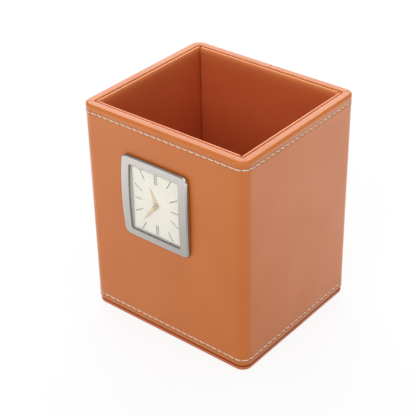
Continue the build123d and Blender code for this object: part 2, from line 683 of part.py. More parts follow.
with BuildPart() as hour_wheel:
    extrude(wheel_face(hour_level, centre_spot, HOUR_WHEEL_TEETH, motion_module, hour_phase), amount=WHEEL_THICK)
    pipe_length = hour_hand_back + HAND_THICK + CLOSE_GAP - hour_level
    extrude(disc(hour_level, hour_pipe_outer), amount=pipe_length)
    extrude(disc(hour_level, hour_pipe_inner), amount=pipe_length, mode=Mode.SUBTRACT)

with BuildPart() as minute_wheel:
    extrude(
        wheel_face(motion_level, minute_spot, MINUTE_WHEEL_TEETH, motion_module, minute_phase),
        amount=WHEEL_THICK,
    )
    pinion_height = hour_level + WHEEL_THICK - motion_level
    extrude(
        wheel_face(motion_level, minute_spot, MINUTE_PINION_TEETH, motion_module, 0.0),
        amount=pinion_height,
    )
    extrude(disc(motion_level, POST_RADIUS + RUNNING_GAP, minute_spot), amount=pinion_height, mode=Mode.SUBTRACT)

with BuildPart() as setting_arbor:
    extrude(wheel_face(motion_level, setting_spot, SETTING_TEETH, motion_module, setting_phase), amount=WHEEL_THICK)
    extrude(disc(knob_back, ARBOR_RADIUS, setting_spot), amount=motion_level - knob_back)

with BuildPart() as setting_knob:
    with BuildSketch(clock_plane(knob_back, setting_spot)):
        Circle(KNOB_RADIUS)
        Circle(ARBOR_RADIUS + CLOSE_GAP, mode=Mode.SUBTRACT)
        with PolarLocations(KNOB_RADIUS, KNOB_RIDGES):
            Circle(KNOB_RIDGE_RADIUS, mode=Mode.SUBTRACT)
    extrude(amount=KNOB_THICK)

# Gear train between the plate and the bridge
with BuildPart() as centre_wheel:
    extrude(wheel_face(centre_level, centre_spot, CENTRE_WHEEL_TEETH, motion_module, 0.0), amount=WHEEL_THICK)
    extrude(disc(centre_level, ARBOR_RADIUS + CLOSE_GAP), amount=WHEEL_THICK, mode=Mode.SUBTRACT)

with BuildPart() as third_wheel:
    extrude(disc(pivot_back, PIVOT_RADIUS, third_spot), amount=pivot_front - pivot_back)
    extrude(
        wheel_face(third_level, third_spot, THIRD_PINION_TEETH, motion_module, third_phase),
        amount=TRAIN_LEVEL_STEP + WHEEL_THICK,
    )
    extrude(wheel_face(third_level, third_spot, THIRD_WHEEL_TEETH, third_module, 0.0), amount=WHEEL_THICK)

with BuildPart() as intermediate_wheel:
    extrude(disc(pivot_back, PIVOT_RADIUS, intermediate_spot), amount=pivot_front - pivot_back)
    extrude(
        wheel_face(
            rotor_level, intermediate_spot, INTERMEDIATE_PINION_TEETH, third_module, intermediate_phase
        ),
        amount=TRAIN_LEVEL_STEP + WHEEL_THICK,
    )
    extrude(
        wheel_face(rotor_level, intermediate_spot, INTERMEDIATE_WHEEL_TEETH, rotor_module, 0.0),
        amount=WHEEL_THICK,
    )

with BuildPart() as rotor:
    magnet_level = centre_level + WHEEL_THICK - LEVEL_GAP / 2 - MAGNET_THICK
    extrude(disc(pivot_back, PIVOT_RADIUS, rotor_spot), amount=pivot_front - pivot_back)
    extrude(wheel_face(rotor_level, rotor_spot, ROTOR_PINION_TEETH, rotor_module, rotor_phase), amount=WHEEL_THICK)
    extrude(disc(magnet_level, MAGNET_RADIUS, rotor_spot), amount=MAGNET_THICK)

# Stepping motor: soft iron stator round the rotor, closed by the core through the coil
stator_front = plate_back - RUNNING_GAP
stator_back = stator_front - STATOR_THICK
core_reach = coil_length / 2 + CORE_FOOT / 2 + RUNNING_GAP
core_left_end = (coil_spot[0] - core_reach, coil_spot[1])
core_right_end = (coil_spot[0] + core_reach, coil_spot[1])
coil_level = (plate_back + bridge_front) / 2


def stator_arm(start, finish):
    """Bar of the stator from one spot to another."""
    run_x = finish[0] - start[0]
    run_y = finish[1] - start[1]
    middle = ((start[0] + finish[0]) / 2, (start[1] + finish[1]) / 2)
    with Locations(Location(middle, degrees(atan2(run_y, run_x)))):
        Rectangle(hypot(run_x, run_y) + STATOR_ARM, STATOR_ARM)


with BuildPart() as stator:
    knee = (core_right_end[0], rotor_spot[1])
    with BuildSketch(clock_plane(stator_back)):
        with Locations(rotor_spot):
            Circle(STATOR_RADIUS)
        stator_arm(rotor_spot, core_left_end)
        stator_arm(rotor_spot, knee)
        stator_arm(knee, core_right_end)
        with Locations(rotor_spot):
            Circle(MAGNET_RADIUS + STATOR_AIR_GAP, mode=Mode.SUBTRACT)
    extrude(amount=STATOR_THICK)

# Plane across the coil's length, at its left core end
coil_origin = (
    CLOCK_SHIFT + core_left_end[0],
    -DEPTH / 2 - coil_level,
    clock_height + coil_spot[1],
)
coil_plane = Plane(origin=coil_origin, x_dir=(0, 0, 1), z_dir=(1, 0, 0))

with BuildPart() as coil_core:
    with BuildSketch(coil_plane):
        Circle(CORE_RADIUS)
    extrude(amount=2 * core_reach)
    with BuildSketch(clock_plane(coil_level - CORE_RADIUS)):
        with Locations(core_left_end, core_right_end):
            Rectangle(CORE_FOOT, CORE_FOOT)
    extrude(amount=stator_back - coil_level + CORE_RADIUS)

with BuildPart() as coil:
    with BuildSketch(coil_plane.offset(core_reach - coil_length / 2)):
        Circle(COIL_RADIUS)
        Circle(CORE_RADIUS + CLOSE_GAP, mode=Mode.SUBTRACT)
    extrude(amount=coil_length)

# Electronics and battery on the back of the plate
with BuildPart() as circuit_board:
    with BuildSketch(clock_plane(plate_back - CIRCUIT_THICK, board_spot)):
        Rectangle(CIRCUIT_WIDTH * calibre, CIRCUIT_DEPTH * calibre)
    extrude(amount=CIRCUIT_THICK)

crystal_origin = (
    CLOCK_SHIFT + board_spot[0] - CRYSTAL_LENGTH / 2,
    -DEPTH / 2 - plate_back + CIRCUIT_THICK + CLOSE_GAP + CRYSTAL_RADIUS,
    clock_height + board_spot[1] - CRYSTAL_DROP,
)
with BuildPart() as quartz_crystal:
    with BuildSketch(Plane(origin=crystal_origin, x_dir=(0, 0, 1), z_dir=(1, 0, 0))):
        Circle(CRYSTAL_RADIUS)
    extrude(amount=CRYSTAL_LENGTH)

battery_front = plate_back - RUNNING_GAP
battery_back = battery_front - BATTERY_THICK
with BuildPart() as battery:
    extrude(disc(battery_back, BATTERY_RADIUS, battery_spot), amount=BATTERY_THICK)

# Spring strip across the battery's back, on a leg that stands on the plate
contact_front = battery_back - CLOSE_GAP
leg_start = BATTERY_RADIUS + PANEL_GAP
with BuildPart() as battery_contact:
    with BuildSketch(clock_plane(contact_front - CONTACT_THICK, battery_spot)):
        with Locations((0, leg_start + CONTACT_LEG)):
            Rectangle(CONTACT_WIDTH, leg_start + CONTACT_LEG, align=(Align.CENTER, Align.MAX))
    extrude(amount=CONTACT_THICK)
    with BuildSketch(clock_plane(contact_front - CONTACT_THICK, battery_spot)):
        with Locations((0, leg_start)):
            Rectangle(CONTACT_WIDTH, CONTACT_LEG, align=(Align.CENTER, Align.MIN))
    extrude(amount=plate_back - contact_front + CONTACT_THICK)

# Write every piece under its own name
pieces = {
    "outer_wrap": outer_wrap,
    "top_stitching": top_stitching,
    "bottom_stitching": bottom_stitching,
    "base_pad": base_pad,
    "base_filler_card": base_filler_card,
    "core_front": core_front,
    "core_back": core_back,
    "core_left": core_left,
    "core_right": core_right,
    "core_floor": core_floor,
    "liner_front": liner_front,
    "liner_back": liner_back,
    "liner_left": liner_left,
    "liner_right": liner_right,
    "liner_card_front": liner_card_front,
    "liner_card_back": liner_card_back,
    "liner_card_left": liner_card_left,
    "liner_card_right": liner_card_right,
    "floor_lining": floor_lining,
    "clock_bezel": clock_bezel,
    "clock_lens": clock_lens,
    "lens_gasket": lens_gasket,
    "dial_ring": dial_ring,
    "dial": dial,
    "hour_markers": hour_markers,
    "hour_hand": hour_hand,
    "minute_hand": minute_hand,
    "case_body": case_body,
    "grip_ring": grip_ring,
    "back_cover": back_cover,
    "main_plate": main_plate,
    "train_bridge": train_bridge,
    "bridge_screws": bridge_screws,
    "cannon_pinion": cannon_pinion,
    "centre_wheel": centre_wheel,
    "minute_wheel": minute_wheel,
    "hour_wheel": hour_wheel,
    "third_wheel": third_wheel,
    "intermediate_wheel": intermediate_wheel,
    "rotor": rotor,
    "stator": stator,
    "coil_core": coil_core,
    "coil": coil,
    "circuit_board": circuit_board,
    "quartz_crystal": quartz_crystal,
    "battery": battery,
    "battery_contact": battery_contact,
    "setting_arbor": setting_arbor,
    "setting_knob": setting_knob,
}
os.makedirs("parts", exist_ok=True)
for node, piece in pieces.items():
    piece.part.label = node
    export_step(piece.part, f"parts/{node}.step")
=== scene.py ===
"""Dresses a packed pen holder: leather wrap, stitches, lining, clock face, inner finishes and studio."""

import math

import bmesh
import bpy
import numpy as np
from mathutils import Matrix, Vector


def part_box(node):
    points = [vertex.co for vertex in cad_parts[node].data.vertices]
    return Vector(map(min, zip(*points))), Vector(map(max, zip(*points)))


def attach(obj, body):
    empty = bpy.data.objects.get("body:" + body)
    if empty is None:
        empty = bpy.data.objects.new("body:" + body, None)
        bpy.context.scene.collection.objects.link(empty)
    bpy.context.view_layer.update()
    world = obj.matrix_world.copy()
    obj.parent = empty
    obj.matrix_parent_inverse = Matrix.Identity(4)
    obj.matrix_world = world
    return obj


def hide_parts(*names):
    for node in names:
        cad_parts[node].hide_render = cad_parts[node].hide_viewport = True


bl_info = {
    "name": "Leather pen holder with desk clock",
    "version": (1, 0, 0),
    "blender": (4, 5, 0),
    "location": "View3D > Sidebar > Pen Holder",
    "description": "Leather, thread, steel and glass for a pen holder with a plug-in clock",
    "category": "Object",
}

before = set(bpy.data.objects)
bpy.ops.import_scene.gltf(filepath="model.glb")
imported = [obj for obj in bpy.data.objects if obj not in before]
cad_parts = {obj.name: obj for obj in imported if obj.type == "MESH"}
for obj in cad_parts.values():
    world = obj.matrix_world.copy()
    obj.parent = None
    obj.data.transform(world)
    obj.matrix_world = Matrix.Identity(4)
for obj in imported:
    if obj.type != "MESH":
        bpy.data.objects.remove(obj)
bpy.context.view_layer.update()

MM = 0.001
WHITE = (1.0, 1.0, 1.0, 1.0)
HEM_ROW_LIFT = 0.5 * MM

wrap_low, wrap_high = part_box("outer_wrap")
wrap_size = wrap_high - wrap_low
front_wall = -wrap_size.y / 2
bezel_low, bezel_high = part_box("clock_bezel")
bezel_size = bezel_high - bezel_low
bezel_middle = (bezel_low + bezel_high) / 2


def row_height(node):
    """Height of the middle of a row of stitches."""
    low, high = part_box(node)
    return (low.z + high.z) / 2


rim_row = row_height("top_stitching")
hem_row = row_height("bottom_stitching") + HEM_ROW_LIFT


def linear(red, green, blue):
    """Linear colour with alpha, from the 0 to 255 values that a screen shows."""
    channels = []
    for value in (red, green, blue):
        share = value / 255
        channels.append(share / 12.92 if share <= 0.04045 else ((share + 0.055) / 1.055) ** 2.4)
    return (*channels, 1.0)


def shaded(colour, factor):
    """Colour made lighter or darker by a factor."""
    return (*(min(1.0, factor * channel) for channel in colour[:3]), 1.0)


def length_property(name, description, millimetres):
    """Property for a length, given in millimetres and kept in metres."""
    return bpy.props.FloatProperty(
        name=name, description=description, default=millimetres * MM, unit="LENGTH", precision=5
    )


def angle_property(name, description, degrees):
    """Property for an angle, given in degrees and kept in radians."""
    return bpy.props.FloatProperty(
        name=name, description=description, default=math.radians(degrees), unit="ROTATION"
    )


def colour_property(name, description, *screen):
    """Property for a colour, given as a screen shows it and kept linear."""
    return bpy.props.FloatVectorProperty(
        name=name, description=description, default=linear(*screen), size=4, subtype="COLOR", min=0.0, max=1.0
    )


def place_property(name, description, *place):
    """Property for a place in metres."""
    return bpy.props.FloatVectorProperty(
        name=name, description=description, default=place, subtype="TRANSLATION"
    )


class WrapSettings(bpy.types.PropertyGroup):
    """Sizes of the leather wrap."""

    corner_radius: length_property("Corner radius", "Radius of the upright corners", 4.7)
    rim_width: length_property("Rim width", "Thickness of the rolled rim", 4.0)
    rim_round_out: length_property("Outer rim round", "Radius of the rim towards the outside", 1.15)
    rim_round_in: length_property("Inner rim round", "Radius of the rim towards the cup", 0.7)
    hem_round: length_property("Hem round", "Radius of the lower edge", 1.4)
    skin: length_property("Leather thickness", "Thickness of the outer leather", 0.9)
    turn_in: length_property("Turn-in thickness", "Thickness of the leather turned into the cup", 0.5)
    turn_in_depth: length_property("Turn-in depth", "How far the leather goes down inside the cup", 14)
    turn_under: length_property("Turn-under", "How far the leather goes under the boards", 12)
    groove_depth: length_property("Groove depth", "How far a row of stitches pulls the leather in", 0.2)
    groove_width: length_property("Groove width", "Half width of the pulled-in line", 0.55)
    hole_dip: length_property("Hole dip", "Extra depth at each needle hole", 0.12)
    rim_swell: length_property("Rim swell", "How far the roll stands proud above the stitches", 0.12)
    hem_swell: length_property("Hem swell", "How far the hem stands proud below the stitches", 0.12)
    seam_gap: length_property("Seam gap", "Gap between the ends of the wrap at the back", 0.06)
    seam_dip: length_property("Seam dip", "How far the ends are pulled in at the seam", 0.12)
    waviness: length_property("Waviness", "Unevenness of the leather over the boards", 0.05)
    mitre_dip: length_property("Mitre dip", "Depth of the fold across the rim's corners", 0.16)
    clock_hole: length_property("Clock hole", "Radius of the hole for the clock", 15.55)


class StitchSettings(bpy.types.PropertyGroup):
    """Sizes of the two rows of stitches."""

    count: bpy.props.IntProperty(name="Stitches", description="Stitches in each row", default=97, min=8)
    length: length_property("Stitch length", "Length of the thread that shows", 2.5)
    thread: length_property("Thread", "Diameter of the thread", 0.55)
    dip: length_property("End dip", "How far the ends go into their holes", 0.3)
    slant: angle_property("Slant", "Lean of each stitch against its row", 5)
    twist: angle_property("Twist", "Turn of the two plies along a stitch", 400)
    wobble: angle_property("Wobble", "Uneven lean from stitch to stitch", 2.5)
    seed: bpy.props.IntProperty(name="Seed", description="Seed of the uneven lean", default=7)


class LiningSettings(bpy.types.PropertyGroup):
    """Sizes of the lining inside the cup, and of the base."""

    leather: length_property("Leather thickness", "Thickness of the lining leather", 0.7)
    fold_round: length_property("Fold round", "Radius of the folded top edge", 0.52)
    rise: length_property("Rise", "How far the soft fold stands above its card", 0.35)
    pad_height: length_property("Pad height", "How far down the panel's top edge is rounded", 2.8)
    ridge: length_property("Ridge", "Width of the flat on top of the fold", 0.3)
    edge_round: length_property("Edge round", "How far a panel falls away at its upright edges", 0.4)
    waviness: length_property("Waviness", "Unevenness of the panels", 0.07)
    base_puff: length_property("Base puff", "How much fuller the base's edge is than its solid", 0.35)


class ClockSettings(bpy.types.PropertyGroup):
    """Sizes of the clock face."""

    corner: length_property("Bezel corner", "Corner radius of the bezel", 2.6)
    side_bow: length_property("Side bow", "How far the bezel's sides bow out", 0.4)
    end_bow: length_property("End bow", "How far the bezel's top and bottom bow out", 0.2)
    crown: length_property("Crown", "How far the bezel falls away at top and bottom", 1.0)
    outer_edge: length_property("Outer edge", "Round of the bezel's outer edge", 0.7)
    inner_edge: length_property("Inner edge", "Chamfer of the bezel's inner edge", 0.2)
    opening_width: length_property("Opening width", "Width of the window", 26.0)
    opening_height: length_property("Opening height", "Height of the window", 30.5)
    opening_corner: length_property("Opening corner", "Corner radius of the window", 0.8)
    lip: length_property("Lip", "How far the bezel reaches over the glass", 1.4)
    lip_thick: length_property("Lip thickness", "Thickness of the bezel over the glass", 0.5)
    marker_width: length_property("Marker width", "Width of a baton", 0.36)
    marker_thick: length_property("Marker thickness", "Height of a baton's ridge", 0.16)
    marker_dot: length_property("Marker dot", "Radius of the dot at a baton's end", 0.27)
    marker_span_x: length_property("Marker span", "Width of the markers' rectangle", 22.2)
    marker_span_y: length_property("Marker rise", "Height of the markers' rectangle", 27.8)
    marker_length: length_property("Marker length", "Length of a baton", 4.4)
    side_marker_length: length_property("Side marker length", "Length of the batons at 3 and 9", 3.4)
    marker_pair: length_property("Pair step", "Step between the batons at 12 and 6", 0.95)
    hour_length: length_property("Hour hand", "Length of the hour hand", 8.2)
    hour_width: length_property("Hour hand width", "Width of the hour hand", 2.4)
    hour_angle: angle_property("Hour angle", "Hour hand, clockwise from twelve", 338)
    minute_length: length_property("Minute hand", "Length of the minute hand", 11.5)
    minute_width: length_property("Minute hand width", "Width of the minute hand", 2.0)
    minute_angle: angle_property("Minute angle", "Minute hand, clockwise from twelve", 218)


class FinishSettings(bpy.types.PropertyGroup):
    """Colours of the visible finishes."""

    tan: colour_property("Tan leather", "Outer leather", 200, 110, 38)
    tan_dark: colour_property("Tan leather, deep", "Darker clouds in the outer leather", 195, 105, 35)
    tan_worn: colour_property("Tan leather, worn", "Edges that have been rubbed", 206, 118, 48)
    # Painted shade: colour of the darkening in folds, stitch lines, the seam, turned-in leather, the cup's
    # corners and where the base meets the wrap.
    painted_shade: colour_property("Painted shade", "Folds and stitch lines", 140, 50, 22)
    base: colour_property("Base leather", "Leather of the base", 206, 108, 62)
    lining: colour_property("Lining", "Leather inside the cup", 207, 104, 59)
    lining_dark: colour_property("Lining, deep", "Darker clouds in the lining", 201, 98, 54)
    # Painted light: a lighter tone along the lining's top fold, where light falls on it.
    lining_lit_edge: colour_property("Lining, painted light", "Soft top edge of the lining", 244, 160, 96)
    thread: colour_property("Thread", "Stitching thread", 252, 243, 225)
    steel: colour_property("Steel", "Bezel", 169, 165, 161)
    dial: colour_property("Dial", "Dial paint", 219, 213, 202)
    gold: colour_property("Pale gold", "Hands", 222, 202, 168)


class StageSettings(bpy.types.PropertyGroup):
    """Camera and light."""

    eye: place_property("Eye", "Where the camera stands", 0.2671, -0.33253, 0.31855)
    aim: place_property("Aim", "What the camera looks at", -0.00301, -0.0048, 0.04719)
    roll: angle_property("Roll", "Tilt of the camera", -1.097)
    lens: bpy.props.FloatProperty(name="Lens", description="Focal length in millimetres", default=101.23)
    ambient: bpy.props.FloatProperty(name="Ambient", description="Light from all round", default=0.5)
    floor_size: length_property("Floor", "Width of the floor", 6000)


SETTINGS = {
    "holder_wrap": WrapSettings,
    "holder_stitches": StitchSettings,
    "holder_lining": LiningSettings,
    "holder_clock": ClockSettings,
    "holder_finish": FinishSettings,
    "holder_stage": StageSettings,
}


def add_node(tree, kind, inputs=None, **settings):
    """Outputs of a new node with its settings, and each input set to a value or linked to a socket."""
    made = tree.nodes.new(kind)
    for key, value in settings.items():
        setattr(made, key, value)
    for key, value in (inputs or {}).items():
        if isinstance(value, bpy.types.NodeSocket):
            tree.links.new(value, made.inputs[key])
        else:
            made.inputs[key].default_value = value
    return made.outputs


def start_group(name, kind, inputs, outputs):
    """Empty node group with named sockets, its input node's outputs and its output node's inputs."""
    group = bpy.data.node_groups.new(name, kind + "NodeTree")
    for socket_name, socket_kind, default in inputs:
        socket = group.interface.new_socket(
            name=socket_name, in_out="INPUT", socket_type="NodeSocket" + socket_kind
        )
        if default is not None:
            socket.default_value = default
    for socket_name, socket_kind in outputs:
        group.interface.new_socket(name=socket_name, in_out="OUTPUT", socket_type="NodeSocket" + socket_kind)
    return group, group.nodes.new("NodeGroupInput").outputs, group.nodes.new("NodeGroupOutput").inputs


def math_node(tree, operation, first, second=0.0):
    """Result of a sum on two sockets or values."""
    return add_node(tree, "ShaderNodeMath", {0: first, 1: second}, operation=operation)[0]


def weighted(tree, first, second, share):
    """Sum of two sockets, the first one by its share and the second by the rest."""
    one = math_node(tree, "MULTIPLY", first, share)
    return math_node(tree, "ADD", one, math_node(tree, "MULTIPLY", second, 1 - share))


def vector_node(tree, operation, first, second):
    """Result of a sum on two vectors."""
    return add_node(tree, "ShaderNodeVectorMath", {0: first, 1: second}, operation=operation)


def combined(tree, *parts):
    """Vector from its parts."""
    return add_node(tree, "ShaderNodeCombineXYZ", dict(enumerate(parts)))[0]


def noise(tree, vector, scale, detail, roughness=0.5):
    """Outputs of a noise."""
    inputs = {"Vector": vector, "Scale": scale, "Detail": detail, "Roughness": roughness}
    return add_node(tree, "ShaderNodeTexNoise", inputs)


def mixed_colour(tree, factor, first, second):
    """Colour between two colours."""
    return add_node(tree, "ShaderNodeMix", {0: factor, 6: first, 7: second}, data_type="RGBA")[2]


def ranged(tree, value, low, high, to_low=0.0, to_high=1.0):
    """Value moved from one range to another."""
    return add_node(tree, "ShaderNodeMapRange", {0: value, 1: low, 2: high, 3: to_low, 4: to_high})[0]


def leather_grain(name):
    """Fine pebbled grain, pores and slow clouds of tone."""
    tree, given, result = start_group(
        name,
        "Shader",
        [("Vector", "Vector", None), ("Grain", "Float", 1500.0), ("Clouds", "Float", 45.0)],
        [("Height", "Float"), ("Mottle", "Float"), ("Pores", "Float")],
    )
    vector = given["Vector"]
    bend = noise(tree, vector, 420.0, 2.0)["Color"]
    bent = vector_node(tree, "MULTIPLY", bend, (0.0006, 0.0006, 0.0006))[0]
    cells = add_node(
        tree,
        "ShaderNodeTexVoronoi",
        {"Vector": vector_node(tree, "ADD", vector, bent)[0], "Scale": given["Grain"]},
        feature="DISTANCE_TO_EDGE",
    )
    pebble = ranged(tree, cells["Distance"], 0.0, 0.22)
    pores = noise(tree, vector, math_node(tree, "MULTIPLY", given["Grain"], 2.3), 3.0)[0]
    clouds = noise(tree, vector, given["Clouds"], 5.0, 0.6)[0]
    tree.links.new(weighted(tree, pebble, pores, 0.6), result["Height"])
    tree.links.new(ranged(tree, clouds, 0.3, 0.7), result["Mottle"])
    tree.links.new(pores, result["Pores"])
    return tree


def wear_and_painted_light(name):
    """Base tone with deep clouds, rubbed edges, painted light on lit edges, and painted shade."""
    tones = [(tone, "Color", None) for tone in ("Colour", "Deep colour", "Worn and lit colour", "Crease colour")]
    starts = {"Mottle": 0.0, "Pores": 0.5, "Wear and lit edge": 0.0, "Painted shade": 0.0}
    shares = [(share, "Float", start) for share, start in starts.items()]
    tree, given, result = start_group(name, "Shader", tones + shares, [("Colour", "Color")])
    toned = mixed_colour(tree, given["Mottle"], given["Colour"], given["Deep colour"])
    patchy = math_node(tree, "MULTIPLY", given["Wear and lit edge"], ranged(tree, given["Pores"], 0.3, 0.7, 0.6))
    # The worn tone is real rubbing on the wrap and base, and painted light along the lining's top fold; the
    # last mix is painted shade.
    rubbed = mixed_colour(tree, patchy, toned, given["Worn and lit colour"])
    with_painted_shade = mixed_colour(tree, given["Painted shade"], rubbed, given["Crease colour"])
    tree.links.new(with_painted_shade, result["Colour"])
    return tree


def brushed_streaks(name):
    """Fine parallel scratches of a brushed or drawn surface."""
    tree, given, result = start_group(
        name,
        "Shader",
        [("Vector", "Vector", None), ("Along", "Vector", (60.0, 60.0, 4000.0))],
        [("Streak", "Float"), ("Smudge", "Float")],
    )
    stretched = vector_node(tree, "MULTIPLY", given["Vector"], given["Along"])[0]
    streak = noise(tree, stretched, 1.0, 4.0)[0]
    smudge = noise(tree, given["Vector"], 160.0, 4.0)[0]
    tree.links.new(ranged(tree, streak, 0.3, 0.7), result["Streak"])
    tree.links.new(ranged(tree, smudge, 0.35, 0.65), result["Smudge"])
    return tree


def surface_flecks(name):
    """Fine flecks and broad clouds of a moulded, painted or pressed surface."""
    tree, given, result = start_group(
        name,
        "Shader",
        [("Vector", "Vector", None), ("Scale", "Float", 2000.0)],
        [("Fleck", "Float"), ("Cloud", "Float")],
    )
    broad = math_node(tree, "MULTIPLY", given["Scale"], 0.08)
    for output, scale in (("Fleck", given["Scale"]), ("Cloud", broad)):
        spots = noise(tree, given["Vector"], scale, 3.0)[0]
        tree.links.new(ranged(tree, spots, 0.3, 0.7), result[output])
    return tree


EFFECTS = {
    "Leather grain": leather_grain,
    "Edge wear": wear_and_painted_light,
    "Brushed streaks": brushed_streaks,
    "Surface flecks": surface_flecks,
}


def effect(tree, name, inputs):
    """Outputs of a shared effect, whose node group is built on first use."""
    group = bpy.data.node_groups.get(name) or EFFECTS[name](name)
    return add_node(tree, "ShaderNodeGroup", inputs, node_tree=group)


def start_material(name):
    """New material with its tree, its shader's inputs and the object's own coordinates."""
    material = bpy.data.materials.new(name)
    material.use_nodes = True
    tree = material.node_tree
    place = add_node(tree, "ShaderNodeTexCoord")["Object"]
    return material, tree, tree.nodes["Principled BSDF"].inputs, place


def fill_shader(tree, shader, tone, dull, height, relief, depth):
    """Links a shader's colour and roughness, and the relief of a height to its normal."""
    tree.links.new(tone, shader["Base Color"])
    tree.links.new(dull, shader["Roughness"])
    bump = add_node(tree, "ShaderNodeBump", {"Strength": relief, "Distance": depth, "Height": height})
    tree.links.new(bump[0], shader["Normal"])


def leather_material(name, tones, grain, roughness, relief):
    """Smooth satin leather with fine grain, clouds, rubbed edges, painted light on lit edges and painted
    shade in creases and grooves.
    """
    material, tree, shader, place = start_material(name)
    skin = effect(tree, "Leather grain", {"Vector": place, "Grain": grain})
    values = dict(zip(("Colour", "Deep colour", "Worn and lit colour", "Crease colour"), map(tuple, tones)))
    values["Mottle"] = skin["Mottle"]
    values["Pores"] = skin["Pores"]
    values["Wear and lit edge"] = add_node(tree, "ShaderNodeAttribute", attribute_name="wear_and_lit_edge")["Fac"]
    values["Painted shade"] = add_node(tree, "ShaderNodeAttribute", attribute_name="painted_shade")["Fac"]
    tone = effect(tree, "Edge wear", values)["Colour"]
    dull = ranged(tree, skin["Mottle"], 0.0, 1.0, *roughness)
    fill_shader(tree, shader, tone, dull, skin["Height"], relief, 0.1 * MM)
    shader["IOR"].default_value = 1.46
    return material


def fleck_material(name, tones, scale, roughness, relief, metallic=0.0, spread="Cloud", depth=0.05 * MM):
    """Moulded, painted, pressed or cast surface with flecks, and two tones spread by flecks or clouds."""
    material, tree, shader, place = start_material(name)
    flecks = effect(tree, "Surface flecks", {"Vector": place, "Scale": scale})
    tone = mixed_colour(tree, flecks[spread], *tones)
    dull = ranged(tree, flecks["Fleck"], 0.0, 1.0, *roughness)
    fill_shader(tree, shader, tone, dull, flecks["Fleck"], relief, depth)
    shader["Metallic"].default_value = metallic
    return material


def brushed_material(name, tones, along, roughness, relief):
    """Metal with fine parallel scratches."""
    material, tree, shader, place = start_material(name)
    streaks = effect(tree, "Brushed streaks", {"Vector": place, "Along": along})
    tone = mixed_colour(tree, streaks["Streak"], *tones)
    dull = ranged(tree, weighted(tree, streaks["Streak"], streaks["Smudge"], 0.6), 0.0, 1.0, *roughness)
    fill_shader(tree, shader, tone, dull, streaks["Streak"], relief, 0.02 * MM)
    shader["Metallic"].default_value = 1.0
    return material


def thread_material(name, colour):
    """Waxed thread with fine fibres and a little sheen."""
    tones = (colour, shaded(colour, 0.85))
    material = fleck_material(name, tones, 5200.0, (0.55, 0.8), 0.5, 0.0, "Fleck", 0.06 * MM)
    material.node_tree.nodes["Principled BSDF"].inputs["Sheen Weight"].default_value = 0.15
    return material


def mix_onto_surface(tree, factor, second):
    """Mixes a second shader over the first one by a factor, as the material's surface."""
    first = tree.nodes["Principled BSDF"].outputs[0]
    both = add_node(tree, "ShaderNodeMixShader", {0: factor, 1: first, 2: second})
    tree.links.new(both[0], tree.nodes["Material Output"].inputs["Surface"])


def glass_material(name):
    """Clear glass that lets light through to the dial."""
    material, tree, shader, place = start_material(name)
    flecks = effect(tree, "Surface flecks", {"Vector": place, "Scale": 300.0})
    tree.links.new(ranged(tree, flecks["Cloud"], 0.0, 1.0, 0.0, 0.02), shader["Roughness"])
    shader["Base Color"].default_value = (0.98, 0.99, 0.98, 1.0)
    shader["Transmission Weight"].default_value = 1.0
    shader["IOR"].default_value = 1.3
    shadow = add_node(tree, "ShaderNodeLightPath")["Is Shadow Ray"]
    mix_onto_surface(tree, shadow, add_node(tree, "ShaderNodeBsdfTransparent")[0])
    return material


def grid_faces(rows, columns, close_rows=False, close_columns=False):
    """Four-cornered faces of a grid of points, joined round where asked."""
    row_steps = rows if close_rows else rows - 1
    column_steps = columns if close_columns else columns - 1
    row = np.repeat(np.arange(row_steps), column_steps)
    column = np.tile(np.arange(column_steps), row_steps)
    next_row = (row + 1) % rows
    next_column = (column + 1) % columns
    corners = (
        row * columns + column,
        row * columns + next_column,
        next_row * columns + next_column,
        next_row * columns + column,
    )
    return np.stack(corners, axis=1).tolist()


def strip_faces(rows, columns):
    """Faces of a bar whose section is a loop of rows, with both ends closed."""
    index = np.arange(rows * columns).reshape(rows, columns)
    return grid_faces(rows, columns, close_rows=True) + [index[:, 0].tolist(), index[::-1, -1].tolist()]


def stack_faces(rows, columns):
    """Faces of a stack of loops, with the first and the last loop closed."""
    index = np.arange(rows * columns).reshape(rows, columns)
    return grid_faces(rows, columns, close_columns=True) + [index[0].tolist(), index[-1, ::-1].tolist()]


def new_object(name, data):
    """Object at the origin, linked to the scene."""
    made = bpy.data.objects.new(name, data)
    bpy.context.scene.collection.objects.link(made)
    return made


def store(mesh, name, values, kind="FLOAT"):
    """Keeps a number or a vector for each point of a mesh."""
    layer = mesh.attributes.new(name, kind, "POINT")
    key = "value" if kind == "FLOAT" else "vector"
    layer.data.foreach_set(key, np.asarray(values, dtype=np.float32).ravel())


def mesh_piece(name, points, faces, material, sharp=40, masks=None):
    """Object with outward normals, point masks, and edges that are sharp past an angle in degrees."""
    mesh = bpy.data.meshes.new(name)
    mesh.from_pydata(np.reshape(points, (-1, 3)).tolist(), [], faces)
    for mask, values in (masks or {}).items():
        store(mesh, mask, values)
    built = bmesh.new()
    built.from_mesh(mesh)
    bmesh.ops.recalc_face_normals(built, faces=built.faces)
    built.to_mesh(mesh)
    built.free()
    mesh.shade_smooth()
    mesh.set_sharp_from_angle(angle=math.radians(sharp))
    mesh.materials.append(material)
    return new_object(name, mesh)


def settle(piece):
    """Turns a piece's modifiers into plain mesh and removes them."""
    bpy.context.view_layer.update()
    evaluated = piece.evaluated_get(bpy.context.evaluated_depsgraph_get())
    mesh = bpy.data.meshes.new_from_object(evaluated)
    old = piece.data
    piece.modifiers.clear()
    piece.data = mesh
    mesh.name = piece.name
    bpy.data.meshes.remove(old)


def carve(piece, other, operation):
    """Joins another object to a piece or cuts it out, and removes the other."""
    cut = piece.modifiers.new("Carve", "BOOLEAN")
    cut.operation = operation
    cut.solver = "EXACT"
    cut.object = other
    settle(piece)
    spent = other.data
    bpy.data.objects.remove(other)
    bpy.data.meshes.remove(spent)


